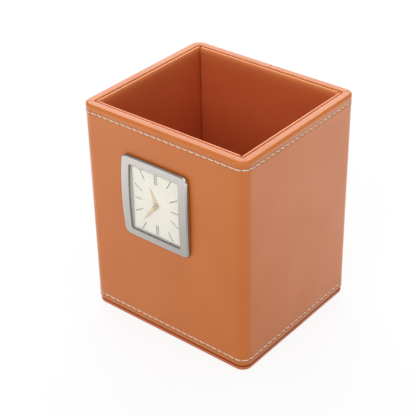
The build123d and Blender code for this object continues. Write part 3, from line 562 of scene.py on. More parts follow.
def round_bar(name, radius, front, back, material, sides=96):
    """Closed round bar along Y through the middle of the clock, between two depths."""
    turn = np.linspace(0, 2 * math.pi, sides, endpoint=False)
    points = np.zeros((2, sides, 3))
    points[:, :, 0] = bezel_middle.x + radius * np.cos(turn)
    points[:, :, 1] = [[front], [back]]
    points[:, :, 2] = bezel_middle.z + radius * np.sin(turn)
    return mesh_piece(name, points, stack_faces(2, sides), material)


def grown_piece(name, mesh, tree, values):
    """Piece that geometry nodes grow on a mesh, settled into plain mesh."""
    piece = new_object(name, mesh)
    modifier = piece.modifiers.new(tree.name, "NODES")
    modifier.node_group = tree
    for item in tree.interface.items_tree:
        if item.item_type == "SOCKET" and item.in_out == "INPUT" and item.name in values:
            modifier[item.identifier] = values[item.name]
    settle(piece)
    if not piece.data.polygons:
        raise RuntimeError(f"{name} came out empty")
    return piece


def finish_piece(piece, body, node):
    """Rides a piece on its body, and hides the node that it stands for."""
    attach(piece, body)
    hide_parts(node)


def outline_legs(size, radius, out=0.0):
    """Lengths round a rounded rectangle moved outwards, from the middle of the back and by the left."""
    radius = radius + out
    arc = radius * math.pi / 2
    across = size.x + 2 * out - 2 * radius
    along = size.y + 2 * out - 2 * radius
    return np.array([across / 2, arc, along, arc, across, arc, along, arc, across / 2])


def outline_walk(legs, gap, count):
    """Leg, share of the leg and distance of even points, from one side of a gap at the back to the other."""
    ends = np.cumsum(legs)
    distance = np.linspace(gap / 2, ends[-1] - gap / 2, count)
    leg = np.minimum(np.searchsorted(ends, distance, side="left"), len(legs) - 1)
    share = (distance - (ends - legs)[leg]) / legs[leg]
    return leg, share, distance


def outline_points(size, radius, out, leg, share, least=0.15 * MM):
    """Points and outward directions on a rounded rectangle moved outwards, with a least corner radius."""
    radius = max(radius + out, least)
    half_x = size.x / 2 + out
    half_y = size.y / 2 + out
    in_x = half_x - radius
    in_y = half_y - radius
    lines = {
        0: ((0, half_y), (-in_x, half_y), (0, 1)),
        2: ((-half_x, in_y), (-half_x, -in_y), (-1, 0)),
        4: ((-in_x, -half_y), (in_x, -half_y), (0, -1)),
        6: ((half_x, -in_y), (half_x, in_y), (1, 0)),
        8: ((in_x, half_y), (0, half_y), (0, 1)),
    }
    arcs = {1: (-in_x, in_y, 0.5), 3: (-in_x, -in_y, 1.0), 5: (in_x, -in_y, 1.5), 7: (in_x, in_y, 0.0)}
    points = np.zeros((len(leg), 2))
    outward = np.zeros((len(leg), 2))
    for key, (start, end, normal) in lines.items():
        here = leg == key
        step = share[here][:, None]
        points[here] = np.array(start) * (1 - step) + np.array(end) * step
        outward[here] = normal
    for key, (centre_x, centre_y, half_turns) in arcs.items():
        here = leg == key
        angle = (half_turns + share[here] / 2) * math.pi
        outward[here] = np.stack([np.cos(angle), np.sin(angle)], axis=1)
        points[here] = np.array([centre_x, centre_y]) + radius * outward[here]
    return points, outward


def bump_line(value, middle, width):
    """Smooth bump of height 1 across a line."""
    return np.exp(-(((value - middle) / width) ** 2))


def waves(first, second, size):
    """Slow unevenness over two directions, the same on each run."""
    total = np.sin(first / 17e-3 + 1.3 * np.sin(second / 23e-3 + 0.4))
    total = total + 0.7 * np.sin(second / 11e-3 + 0.9 * np.sin(first / 29e-3 + 2.1) + 0.8)
    total = total + 0.4 * np.sin(first / 6.1e-3 - second / 8.3e-3 + 1.9)
    return size * total / 2.1


def arc_rows(centre_out, centre_up, radius, start, end, count, rise=None):
    """Rows of a profile on an arc: place out and up, and the direction that the leather faces."""
    rows = []
    for step in range(count):
        angle = math.radians(start + (end - start) * step / (count - 1))
        out = math.cos(angle)
        up = math.sin(angle)
        rows.append((centre_out + radius * out, centre_up + (rise or radius) * up, out, up))
    return rows


def line_rows(start, end, facing, count):
    """Rows of a profile on a straight line."""
    rows = []
    for share in np.arange(count) / (count - 1):
        out = start[0] * (1 - share) + end[0] * share
        up = start[1] * (1 - share) + end[1] * share
        rows.append((out, up, *facing))
    return rows


# Steps of the wrap's section: the band round a row of stitches, next to a round, and round the boards
ROW_BAND = 3 * MM
HEM_STEP = 0.2 * MM
RIM_STEP = 0.15 * MM
CUP_STEP = 0.5 * MM
BOARD_STEP = 1.0 * MM
BOARD_ROUND = 1.1 * MM


def wrap_profile(sizes):
    """Closed section through the wrap: the leather that shows, and the side against the boards."""
    low = wrap_low.z
    top = wrap_high.z
    hem = sizes.hem_round
    rim_out = sizes.rim_round_out
    rim_in = sizes.rim_round_in
    width = sizes.rim_width
    skin = sizes.skin
    under = sizes.turn_under
    inner = sizes.turn_in - width
    end = top - sizes.turn_in_depth
    above_hem = hem_row + ROW_BAND
    below_rim = rim_row - ROW_BAND
    shown = line_rows((-under, low), (-hem - HEM_STEP, low), (0, -1), 4)
    shown += arc_rows(-hem, low + hem, hem, -90, 0, 7)
    shown += line_rows((0, low + hem + HEM_STEP), (0, above_hem), (1, 0), 18)
    shown += line_rows((0, above_hem + ROW_BAND), (0, below_rim - ROW_BAND), (1, 0), 27)
    shown += line_rows((0, below_rim), (0, top - rim_out - RIM_STEP), (1, 0), 22)
    shown += arc_rows(-rim_out, top - rim_out, rim_out, 0, 90, 9)
    shown += arc_rows(rim_in - width, top - rim_in, rim_in, 90, 180, 9)
    shown += line_rows((-width, top - rim_in - CUP_STEP), (-width, end), (-1, 0), 5)
    hidden = line_rows((inner, end), (inner, top - skin), (1, 0), 3)
    hidden += line_rows((inner + BOARD_STEP, top - skin), (-skin - BOARD_ROUND, top - skin), (0, -1), 2)
    hidden += line_rows((-skin, top - skin - BOARD_ROUND), (-skin, low + skin), (-1, 0), 3)
    hidden += line_rows((-skin - BOARD_STEP, low + skin), (-under, low + skin), (0, 1), 2)
    return np.array(shown), np.array(hidden)


# Relief of the wrap: needle holes, the puff of each stitch, the seam, and the mitres over the rim's corners
POINTS_PER_STITCH = 7
HOLE_SHARPNESS = 24
STITCH_PUFF = 0.15
SHOULDER = 0.25
SEAM_WIDTH = 0.5 * MM
MITRE_LEAN = 0.06
MITRE_WIDTH = 0.045
MITRE_START = 2.6 * MM
MITRE_FADE = 1.2 * MM
UNDER_FADE = 0.25 * MM

# Masks of the wrap: shares of wear and of painted shade at their strongest
RIM_WEAR = 0.4
HEM_WEAR = 0.3
LINE_SHADE = 0.08
SEAM_SHADE = 0.3
MITRE_SHADE = 0.3
UNDER_SHADE = 0.8


def turned_in_shade(facing):
    """Painted shade on leather that is turned in, by the way that it faces."""
    return np.clip(-0.6 * facing, 0, 0.2)


def wrap_relief(sizes, stitches, rows, leg, share, distance):
    """Push of each point along the direction that it faces, and the masks for worn leather and for painted
    shade.
    """
    blank = np.zeros((len(rows), len(distance)))
    up = rows[:, 1:2] + blank
    facing = rows[:, 2:3] + blank
    along = distance + blank
    length = distance[0] + distance[-1]
    wall = np.clip(facing, 0, 1)
    phase = (along - sizes.seam_gap / 2) * stitches.count / (length - sizes.seam_gap)
    hole = np.cos(math.pi * phase) ** HOLE_SHARPNESS
    puff = 1 - STITCH_PUFF + STITCH_PUFF * np.cos(2 * math.pi * phase)
    lines = bump_line(up, rim_row, sizes.groove_width) + bump_line(up, hem_row, sizes.groove_width)
    seam = bump_line(np.minimum(along, length - along), 0, SEAM_WIDTH)
    mitre = leg % 2 * bump_line(share, 0.5 + MITRE_LEAN * np.sin(3.0 * leg), MITRE_WIDTH)
    mitre = mitre * np.clip((up - rim_row - MITRE_START) / MITRE_FADE, 0, 1)
    push = waves(along, up, sizes.waviness) - sizes.seam_dip * seam - sizes.mitre_dip * mitre
    push -= wall * lines * (sizes.groove_depth + sizes.hole_dip * hole)
    swells = (
        (rim_row + 2.3 * MM, 1.5 * MM, sizes.rim_swell * puff),
        (hem_row - 1.6 * MM, 1.0 * MM, sizes.hem_swell * puff),
        (rim_row - 1.6 * MM, 1.0 * MM, SHOULDER * sizes.groove_depth),
        (hem_row + 1.6 * MM, 1.0 * MM, SHOULDER * sizes.groove_depth),
    )
    for middle, width, height in swells:
        push += wall * height * bump_line(up, middle, width)
    edge = bump_line(up, wrap_high.z - 0.7 * MM, 0.9 * MM) * np.clip(facing + 0.4, 0, 1)
    hem_edge = bump_line(up, wrap_low.z + 0.6 * MM, 0.7 * MM)
    under = np.clip((wrap_low.z - up) / UNDER_FADE + 1, 0, 1)
    wear_and_lit_edge = RIM_WEAR * edge + HEM_WEAR * hem_edge
    # The second mask is painted shade: darker along the stitch lines, at the seam, in the mitre folds, on
    # turned-in leather and under the hem.
    painted_shade = LINE_SHADE * wall * lines + SEAM_SHADE * seam ** 2 + MITRE_SHADE * mitre
    painted_shade = painted_shade + turned_in_shade(facing) + UNDER_SHADE * under
    return push, {"wear_and_lit_edge": wear_and_lit_edge, "painted_shade": np.clip(painted_shade, 0, 1)}


class HOLDER_OT_wrap(bpy.types.Operator):
    """Leather wrap with rolled rim, pulled-in stitch lines, seam at the back and hole for the clock"""

    bl_idname = "holder.wrap"
    bl_label = "Leather wrap"

    def execute(self, context):
        scene = context.scene
        sizes = scene.holder_wrap
        stitches = scene.holder_stitches
        finish = scene.holder_finish
        tones = (finish.tan, finish.tan_dark, finish.tan_worn, finish.painted_shade)
        material = leather_material("tan_leather", tones, 1500.0, (0.32, 0.4), 0.16)
        columns = POINTS_PER_STITCH * stitches.count + 1
        radius = sizes.corner_radius
        leg, share, distance = outline_walk(outline_legs(wrap_size, radius), sizes.seam_gap, columns)
        shown, hidden = wrap_profile(sizes)
        push, masks = wrap_relief(sizes, stitches, shown, leg, share, distance)
        rest = ((0, len(hidden)), (0, 0))
        push = np.pad(push, rest)
        masks = {name: np.pad(values, rest) for name, values in masks.items()}
        rows = np.concatenate([shown, hidden])
        points = np.zeros((len(rows), columns, 3))
        for index, (out, up, face_out, face_up) in enumerate(rows):
            place, outward = outline_points(wrap_size, radius, out, leg, share)
            points[index, :, :2] = place + outward * (push[index] * face_out)[:, None]
            points[index, :, 2] = up + push[index] * face_up
        piece = mesh_piece("leather_wrap", points, strip_faces(len(rows), columns), material, 50, masks)
        reach = 2 * MM
        hole = round_bar("clock_hole", sizes.clock_hole, front_wall - reach, front_wall + reach, material)
        carve(piece, hole, "DIFFERENCE")
        finish_piece(piece, "holder", "outer_wrap")
        return {"FINISHED"}


def made_real(tree, instances, material):
    """Instances turned into mesh, with a material."""
    real = add_node(tree, "GeometryNodeRealizeInstances", {"Geometry": instances})[0]
    return add_node(tree, "GeometryNodeSetMaterial", {"Geometry": real, "Material": material})[0]


def stitch_tree():
    """Geometry nodes that lay twisted stitches along a row."""
    tree, given, result = start_group(
        "Stitch row",
        "Geometry",
        [
            ("Row", "Geometry", None),
            ("Stitches", "Int", 97),
            ("Length", "Float", 2.5 * MM),
            ("Thread", "Float", 0.55 * MM),
            ("End dip", "Float", 0.3 * MM),
            ("Slant", "Float", 0.09),
            ("Twist", "Float", 7.0),
            ("Wobble", "Float", 0.04),
            ("Seed", "Int", 7),
            ("Material", "Material", None),
        ],
        [("Stitches", "Geometry")],
    )
    half = math_node(tree, "MULTIPLY", given["Length"], 0.5)
    ends = {"Start": combined(tree, math_node(tree, "MULTIPLY", half, -1.0)), "End": combined(tree, half)}
    line = add_node(tree, "GeometryNodeCurvePrimitiveLine", ends)[0]
    finer = add_node(tree, "GeometryNodeResampleCurve", {"Curve": line, "Count": 9}, mode="COUNT")[0]
    spot = add_node(tree, "GeometryNodeSplineParameter")["Factor"]
    signed = math_node(tree, "SUBTRACT", math_node(tree, "MULTIPLY", spot, 2.0), 1.0)
    fall = math_node(tree, "POWER", math_node(tree, "ABSOLUTE", signed), 3.5)
    inward = combined(tree, 0.0, math_node(tree, "MULTIPLY", fall, given["End dip"]))
    bowed = add_node(tree, "GeometryNodeSetPosition", {"Geometry": finer, "Offset": inward})[0]
    turn = math_node(tree, "MULTIPLY", spot, given["Twist"])
    tilted = add_node(tree, "GeometryNodeSetCurveTilt", {"Curve": bowed, "Tilt": turn})[0]
    thick = math_node(tree, "MULTIPLY", given["Thread"], 0.55)
    circle = {"Resolution": 6, "Radius": thick}
    ring = add_node(tree, "GeometryNodeCurvePrimitiveCircle", circle, mode="RADIUS")[0]
    ply = add_node(tree, "GeometryNodeTransform", {"Geometry": ring, "Scale": (1.0, 0.74, 1.0)})[0]
    section = {"Curve": tilted, "Profile Curve": ply, "Fill Caps": True}
    body = add_node(tree, "GeometryNodeCurveToMesh", section)[0]
    smooth = add_node(tree, "GeometryNodeSetShadeSmooth", {"Geometry": body})[0]
    path = add_node(tree, "GeometryNodeMeshToCurve", {"Mesh": given["Row"]})[0]
    steps = {"Curve": path, "Count": given["Stitches"]}
    spaced = add_node(tree, "GeometryNodeResampleCurve", steps, mode="COUNT")[0]
    heading = add_node(tree, "GeometryNodeInputTangent")[0]
    lower = math_node(tree, "MULTIPLY", given["Wobble"], -1.0)
    spread = {2: lower, 3: given["Wobble"], "Seed": given["Seed"]}
    uneven = add_node(tree, "FunctionNodeRandomValue", spread, data_type="FLOAT")[1]
    lean = combined(tree, 0.0, math_node(tree, "ADD", given["Slant"], uneven))
    tip = add_node(tree, "FunctionNodeEulerToRotation", {0: lean})[0]
    aligned = add_node(
        tree, "FunctionNodeAlignRotationToVector", {"Vector": heading}, axis="X", pivot_axis="Z"
    )[0]
    turned = add_node(tree, "FunctionNodeRotateRotation", {0: aligned, 1: tip}, rotation_space="LOCAL")[0]
    copies = {"Points": spaced, "Instance": smooth, "Rotation": turned}
    placed = add_node(tree, "GeometryNodeInstanceOnPoints", copies)[0]
    tree.links.new(made_real(tree, placed, given["Material"]), result[0])
    return tree


# Path of a row of stitches: its points, and the share of the thread that stands above the groove
PATH_POINTS = 1200
STITCH_PROUD = 0.42


class HOLDER_OT_stitches(bpy.types.Operator):
    """Rows of twisted stitches under the rim and above the base"""

    bl_idname = "holder.stitches"
    bl_label = "Stitches"

    def execute(self, context):
        scene = context.scene
        sizes = scene.holder_wrap
        stitches = scene.holder_stitches
        values = {
            "Stitches": stitches.count,
            "Length": stitches.length,
            "Thread": stitches.thread,
            "End dip": stitches.dip,
            "Slant": stitches.slant,
            "Twist": stitches.twist,
            "Wobble": stitches.wobble,
            "Material": thread_material("waxed_thread", tuple(scene.holder_finish.thread)),
        }
        tree = stitch_tree()
        out = STITCH_PROUD * stitches.thread - sizes.groove_depth
        legs = outline_legs(wrap_size, sizes.corner_radius, out)
        pitch = (legs.sum() - sizes.seam_gap) / stitches.count
        leg, share = outline_walk(legs, sizes.seam_gap + pitch, PATH_POINTS)[:2]
        place = outline_points(wrap_size, sizes.corner_radius, out, leg, share)[0]
        edges = [(index, index + 1) for index in range(PATH_POINTS - 1)]
        rows = (
            ("rim_stitches", rim_row, "top_stitching", 0),
            ("hem_stitches", hem_row, "bottom_stitching", 5),
        )
        for name, height, node, step in rows:
            mesh = bpy.data.meshes.new(name)
            mesh.from_pydata([(x, y, height) for x, y in place], edges, [])
            piece = grown_piece(name, mesh, tree, {**values, "Seed": stitches.seed + step})
            finish_piece(piece, "holder", node)
        return {"FINISHED"}


def fine_steps(length, middle):
    """Places along a length, close together near both ends."""
    ends = np.array([0.0, 0.06, 0.14, 0.26, 0.42, 0.65, 1.0, 1.6, 2.6]) * MM
    inner = np.linspace(ends[-1], length - ends[-1], middle + 2)[1:-1]
    return np.concatenate([ends, inner, length - ends[::-1]])


# Panels: shift of the waves from one to the next, how far in they fade, and widths of edges, of the painted
# shade at their upright edges and of the painted light down from the top fold
WAVE_SHIFT = (0.031, 0.017)
PANEL_FADE = 4 * MM
PANEL_EDGE = 0.32 * MM
PANEL_CORNER_SHADE = 0.3 * MM
LIT_FOLD_REACH = 1.8 * MM

# Lining on the floor: how far in its waves fade, and how its edges fall
FLOOR_FADE = 3 * MM
FLOOR_EDGE = 0.35 * MM
FLOOR_FALL = 0.45 * MM
FLOOR_DEEPEST = 0.7 * MM


class HOLDER_OT_lining(bpy.types.Operator):
    """Four lining panels with folded top edges, and the lining on the floor of the cup"""

    bl_idname = "holder.lining"
    bl_label = "Lining"

    def execute(self, context):
        sizes = context.scene.holder_lining
        finish = context.scene.holder_finish
        tones = (finish.lining, finish.lining_dark, finish.lining_lit_edge, finish.painted_shade)
        material = leather_material("lining_leather", tones, 1700.0, (0.36, 0.46), 0.16)
        panels = (("liner_front", 1, 1), ("liner_back", 1, -1), ("liner_left", 0, 1), ("liner_right", 0, -1))
        for number, (node, axis, sign) in enumerate(panels):
            self.panel(node, axis, sign, number, sizes, material)
        self.floor(sizes, material)
        return {"FINISHED"}

    def panel(self, node, axis, sign, number, sizes, material):
        """One panel: leather over the face of its card and folded over the card's top edge."""
        low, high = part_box(node)
        run = 1 - axis
        thick = high[axis] - low[axis]
        wall = low[axis] if sign > 0 else high[axis]
        width = high[run] - low[run]
        top = high.z + sizes.rise
        leather = sizes.leather
        fold = sizes.fold_round
        pad = sizes.pad_height
        ridge = fold + sizes.ridge
        rows = line_rows((leather, low.z), (thick, low.z), (0, 0), 2)
        rows += line_rows((thick, low.z + 1.0 * MM), (thick, top - pad - 0.4 * MM), (1, 0), 34)
        rows += arc_rows(ridge, top - pad, thick - ridge, 0, 90, 12, pad)
        rows += arc_rows(fold, top - fold, fold, 90, 180, 7)
        rows += [(0.0, top - leather, 0, 0), (leather, top - leather, 0, 0)]
        rows = np.array(rows)
        steps = fine_steps(width, 46)
        blank = np.zeros((len(rows), len(steps)))
        across, up, facing, rising = (rows[:, index : index + 1] + blank for index in range(4))
        along = steps + blank
        to_end = np.minimum(along, width - along)
        push = waves(along + WAVE_SHIFT[0] * number, up + WAVE_SHIFT[1] * number, sizes.waviness)
        push = push * np.clip(to_end / PANEL_FADE, 0, 1)
        push = push - sizes.edge_round * bump_line(to_end, 0, PANEL_EDGE)
        push = push * np.clip(np.abs(facing) + np.abs(rising), 0, 1)
        points = np.zeros((*blank.shape, 3))
        points[:, :, axis] = wall + sign * (across + push * facing)
        points[:, :, run] = low[run] + along
        points[:, :, 2] = up + push * rising
        # Painted light fades down from the top fold; painted shade darkens the panel's upright edges in the
        # cup's corners, and its turned-in back.
        masks = {
            "wear_and_lit_edge": np.exp((up - top) / LIT_FOLD_REACH) * np.clip(facing + rising, 0, 1),
            "painted_shade": 0.5 * bump_line(to_end, 0, PANEL_CORNER_SHADE) + turned_in_shade(facing),
        }
        piece = mesh_piece(node + "_leather", points, strip_faces(*blank.shape), material, 60, masks)
        finish_piece(piece, "holder", node)

    def floor(self, sizes, material):
        """Lining on the floor of the cup, with rounded edges and a little slackness."""
        low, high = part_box("floor_lining")
        across, along = np.meshgrid(fine_steps(high.x - low.x, 40), fine_steps(high.y - low.y, 36))
        to_x = np.minimum(across, across.max() - across)
        to_y = np.minimum(along, along.max() - along)
        drop = FLOOR_FALL * (bump_line(to_x, 0, FLOOR_EDGE) + bump_line(to_y, 0, FLOOR_EDGE))
        ripple = waves(across, along + 0.05, sizes.waviness)
        ripple = ripple * np.clip(np.minimum(to_x, to_y) / FLOOR_FADE, 0, 1)
        height = high.z - np.minimum(drop, FLOOR_DEEPEST) + ripple
        top = np.stack([low.x + across, low.y + along, height], axis=2)
        under = np.stack([low.x + across, low.y + along, np.full_like(height, low.z)], axis=2)
        size = height.size
        faces = grid_faces(*height.shape)
        faces += [[size + index for index in reversed(face)] for face in faces]
        index = np.arange(size).reshape(height.shape)
        rim = np.concatenate([index[0], index[1:, -1], index[-1, -2::-1], index[-2:0:-1, 0]]).tolist()
        faces += [[here, last, size + last, size + here] for last, here in zip(rim[-1:] + rim[:-1], rim)]
        masks = {"wear_and_lit_edge": np.zeros(2 * size), "painted_shade": np.zeros(2 * size)}
        piece = mesh_piece("floor_lining_leather", np.stack([top, under]), faces, material, 60, masks)
        finish_piece(piece, "holder", "floor_lining")


# Base: points round it, steps in from its edge, rounds of its lower and upper edge, and its unevenness
BASE_POINTS = 520
BASE_STEPS = (18 * MM, 9 * MM, 3.5 * MM, 1.2 * MM)
BASE_LOWER_ROUND = 0.5 * MM
BASE_UPPER_ROUND = 0.3 * MM
BASE_UNEVENNESS = 0.04 * MM


class HOLDER_OT_base(bpy.types.Operator):
    """Leather base whose edge shows under the wrap"""

    bl_idname = "holder.base"
    bl_label = "Base"

    def execute(self, context):
        scene = context.scene
        finish = scene.holder_finish
        tones = (finish.base, finish.tan_dark, finish.tan_worn, finish.painted_shade)
        material = leather_material("base_leather", tones, 1500.0, (0.4, 0.5), 0.25)
        low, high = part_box("base_pad")
        puff = scene.holder_lining.base_puff
        size = high - low + 2 * Vector((puff, puff, 0.0))
        radius = scene.holder_wrap.corner_radius - (wrap_size.x - size.x) / 2
        walk = outline_walk(outline_legs(size, radius), 0.0, BASE_POINTS + 1)
        leg, share, distance = (values[:-1] for values in walk)
        edge = BASE_LOWER_ROUND
        lip = BASE_UPPER_ROUND
        rows = [(-step, low.z) for step in BASE_STEPS]
        rows += [row[:2] for row in arc_rows(-edge, low.z + edge, edge, -90, 0, 6)]
        rows += [(0.0, (low.z + high.z) / 2)]
        rows += [row[:2] for row in arc_rows(-lip, high.z - lip, lip, 0, 90, 5)]
        rows += [(-step, high.z) for step in reversed(BASE_STEPS)]
        uneven = BASE_UNEVENNESS * np.sin(distance / 7e-3 + np.sin(distance / 19e-3))
        points = np.zeros((len(rows), BASE_POINTS, 3))
        for index, (out, up) in enumerate(rows):
            place, outward = outline_points(size, radius, out, leg, share, 0.2 * MM)
            shown = out > -1.0 * MM
            points[index, :, :2] = place + outward * (uneven * shown)[:, None]
            points[index, :, 2] = up
        out, up = (np.array(rows)[:, index : index + 1] + np.zeros(BASE_POINTS) for index in range(2))
        masks = {
            "wear_and_lit_edge": 0.5 * bump_line(up, low.z + 0.9 * MM, 0.6 * MM) * (out > -0.6 * MM),
            # The second mask is painted shade, darkest along the top of the base where it goes under the
            # wrap.
            "painted_shade": 0.85 * np.clip((up - high.z) / (0.35 * MM) + 1, 0, 1),
        }
        faces = stack_faces(len(rows), BASE_POINTS)
        piece = mesh_piece("base_leather_pad", points, faces, material, 50, masks)
        finish_piece(piece, "holder", "base_pad")
        return {"FINISHED"}


# Bezel: points on each corner and side of a loop, and the rows of faces on its outer edge and in its window
CORNER_POINTS = 12
SIDE_POINTS = 22
EDGE_ROWS = (2, 8)
WINDOW_ROWS = (13, 16)

# Bezel: edge at its back, step beside its front edges, swell of its face, and corner of the glass pocket
BACK_EDGE = 0.25 * MM
FACE_STEP = 0.12 * MM
FACE_SWELL = 0.05 * MM
POCKET_CORNER = 0.05 * MM


def framed_loop(half_x, half_y, corner, side_bow=0.0, end_bow=0.0):
    """Loop of a rounded rectangle whose sides and ends bow out, as seen from the front."""
    base_x = half_x - side_bow
    base_y = half_y - end_bow
    corners = []
    for sign_x, sign_y, start in ((1, 1, 0), (-1, 1, 90), (-1, -1, 180), (1, -1, 270)):
        angle = np.radians(np.linspace(start, start + 90, CORNER_POINTS))
        x = sign_x * (base_x - corner) + corner * np.cos(angle)
        y = sign_y * (base_y - corner) + corner * np.sin(angle)
        corners.append(np.stack([x, y], axis=1))
    part = np.linspace(0, 1, SIDE_POINTS + 2)[1:-1, None]
    loop = []
    for here, following in zip(corners, corners[1:] + corners[:1]):
        loop += [here, here[-1] * (1 - part) + following[0] * part]
    x, y = np.concatenate(loop).T
    bowed_x = x + side_bow * (1 - (y / base_y) ** 2) * x / base_x
    bowed_y = y + end_bow * (1 - (x / base_x) ** 2) * y / base_y
    return np.stack([bowed_x, bowed_y], axis=1)


class HOLDER_OT_bezel(bpy.types.Operator):
    """Bowed steel frame of the clock with a brushed face and polished edges"""

    bl_idname = "holder.bezel"
    bl_label = "Clock bezel"

    def execute(self, context):
        sizes = context.scene.holder_clock
        steel = tuple(context.scene.holder_finish.steel)
        pale = shaded(steel, 1.12)
        satin = (linear(156, 153, 148), linear(140, 137, 132))
        brushed = brushed_material("brushed_steel", (steel, pale), (3200.0, 500.0, 70.0), (0.3, 0.42), 0.25)
        polished = fleck_material("polished_steel", (pale, steel), 700.0, (0.14, 0.22), 0.02, 1.0)
        inside = fleck_material("satin_steel", satin, 900.0, (0.4, 0.5), 0.05, 1.0)
        half_x = bezel_size.x / 2
        half_y = bezel_size.z / 2
        window_x = sizes.opening_width / 2
        window_y = sizes.opening_height / 2
        front = bezel_size.y
        shelf = front - sizes.lip_thick
        edge = sizes.outer_edge
        inner = sizes.inner_edge

        def outer(inset, height):
            corner = sizes.corner - 0.7 * inset
            return framed_loop(half_x - inset, half_y - inset, corner, sizes.side_bow, sizes.end_bow), height

        def window(outset, height):
            return framed_loop(window_x + outset, window_y + outset, sizes.opening_corner + outset), height

        def pocket(height):
            return framed_loop(window_x + sizes.lip, window_y + sizes.lip, POCKET_CORNER), height

        rings = [outer(BACK_EDGE, 0.0), outer(0.0, BACK_EDGE), outer(0.0, front - edge - 0.02 * MM)]
        for angle in np.radians(np.linspace(0, 90, 7)):
            rings.append(outer(edge * (1 - math.cos(angle)), front - edge * (1 - math.sin(angle))))
        start = outer(edge + FACE_STEP, front)[0]
        end = window(inner + FACE_STEP, front)[0]
        for part in (0.0, 0.3, 0.6, 1.0):
            rings.append((start * (1 - part) + end * part, front + FACE_SWELL * math.sin(math.pi * part)))
        rings += [window(inner, front), window(inner * 0.5, front - inner * 0.35), window(0.0, front - inner)]
        rings += [window(0.0, shelf), pocket(shelf), pocket(0.0)]
        count = len(rings[0][0])
        points = np.zeros((len(rings), count, 3))
        for index, (loop, height) in enumerate(rings):
            fall = sizes.crown * (loop[:, 1] / half_y) ** 2 if height > front / 2 else 0.0
            points[index, :, 0] = bezel_middle.x + loop[:, 0]
            points[index, :, 1] = bezel_high.y - height + fall
            points[index, :, 2] = bezel_middle.z + loop[:, 1]
        faces = grid_faces(len(rings), count, True, True)
        piece = mesh_piece("bezel_frame", points, faces, brushed, 35)
        marks = np.zeros(len(faces), dtype=np.int32)
        row = np.arange(len(faces)) // count
        for mark, material, (first, last) in ((1, polished, EDGE_ROWS), (2, inside, WINDOW_ROWS)):
            piece.data.materials.append(material)
            marks[(row >= first) & (row <= last)] = mark
        piece.data.polygons.foreach_set("material_index", marks)
        finish_piece(piece, "clock", "clock_bezel")
        return {"FINISHED"}


def named(tree, name, kind="FLOAT"):
    """Attribute of the points that geometry nodes work on."""
    return add_node(tree, "GeometryNodeInputNamedAttribute", {"Name": name}, data_type=kind)[0]


def marker_tree():
    """Geometry nodes that set ridged batons and end dots on the dial."""
    tree, given, result = start_group(
        "Hour batons",
        "Geometry",
        [
            ("Places", "Geometry", None),
            ("Width", "Float", 0.36 * MM),
            ("Ridge", "Float", 0.16 * MM),
            ("Dot", "Float", 0.27 * MM),
            ("Metal", "Material", None),
            ("Paint", "Material", None),
        ],
        [("Batons", "Geometry")],
    )
    upright = math.pi / 2
    cone = {"Vertices": 4, "Radius Top": 0.16, "Radius Bottom": 0.7071, "Depth": 1.0}
    ridge = add_node(tree, "GeometryNodeMeshCone", cone)[0]
    eighth = {"Geometry": ridge, "Rotation": (0.0, 0.0, math.pi / 4)}
    squared = add_node(tree, "GeometryNodeTransform", eighth)[0]
    facing = combined(tree, upright, named(tree, "turn"))
    turned = add_node(tree, "FunctionNodeEulerToRotation", {0: facing})[0]
    size = combined(tree, given["Width"], named(tree, "baton_length"), given["Ridge"])
    copies = {"Points": given["Places"], "Instance": squared, "Rotation": turned, "Scale": size}
    batons = add_node(tree, "GeometryNodeInstanceOnPoints", copies)[0]
    metal = made_real(tree, batons, given["Metal"])
    disc = {"Vertices": 12, "Radius": given["Dot"], "Depth": 0.03 * MM}
    dot = add_node(tree, "GeometryNodeMeshCylinder", disc)[0]
    lean = add_node(tree, "FunctionNodeEulerToRotation", {0: (upright, 0.0, 0.0)})[0]
    ends = {"Geometry": given["Places"], "Position": named(tree, "baton_end", "FLOAT_VECTOR")}
    moved = add_node(tree, "GeometryNodeSetPosition", ends)[0]
    copies = {"Points": moved, "Instance": dot, "Rotation": lean}
    dots = add_node(tree, "GeometryNodeInstanceOnPoints", copies)[0]
    dot_geometry = made_real(tree, dots, given["Paint"])
    joined = tree.nodes.new("GeometryNodeJoinGeometry")
    tree.links.new(metal, joined.inputs[0])
    tree.links.new(dot_geometry, joined.inputs[0])
    tree.links.new(joined.outputs[0], result[0])
    return tree


# Dots: how far in front of the dial their middles lie, and how far in from their batons' ends
DOT_LIFT = 0.012 * MM
DOT_INSET = 0.05 * MM


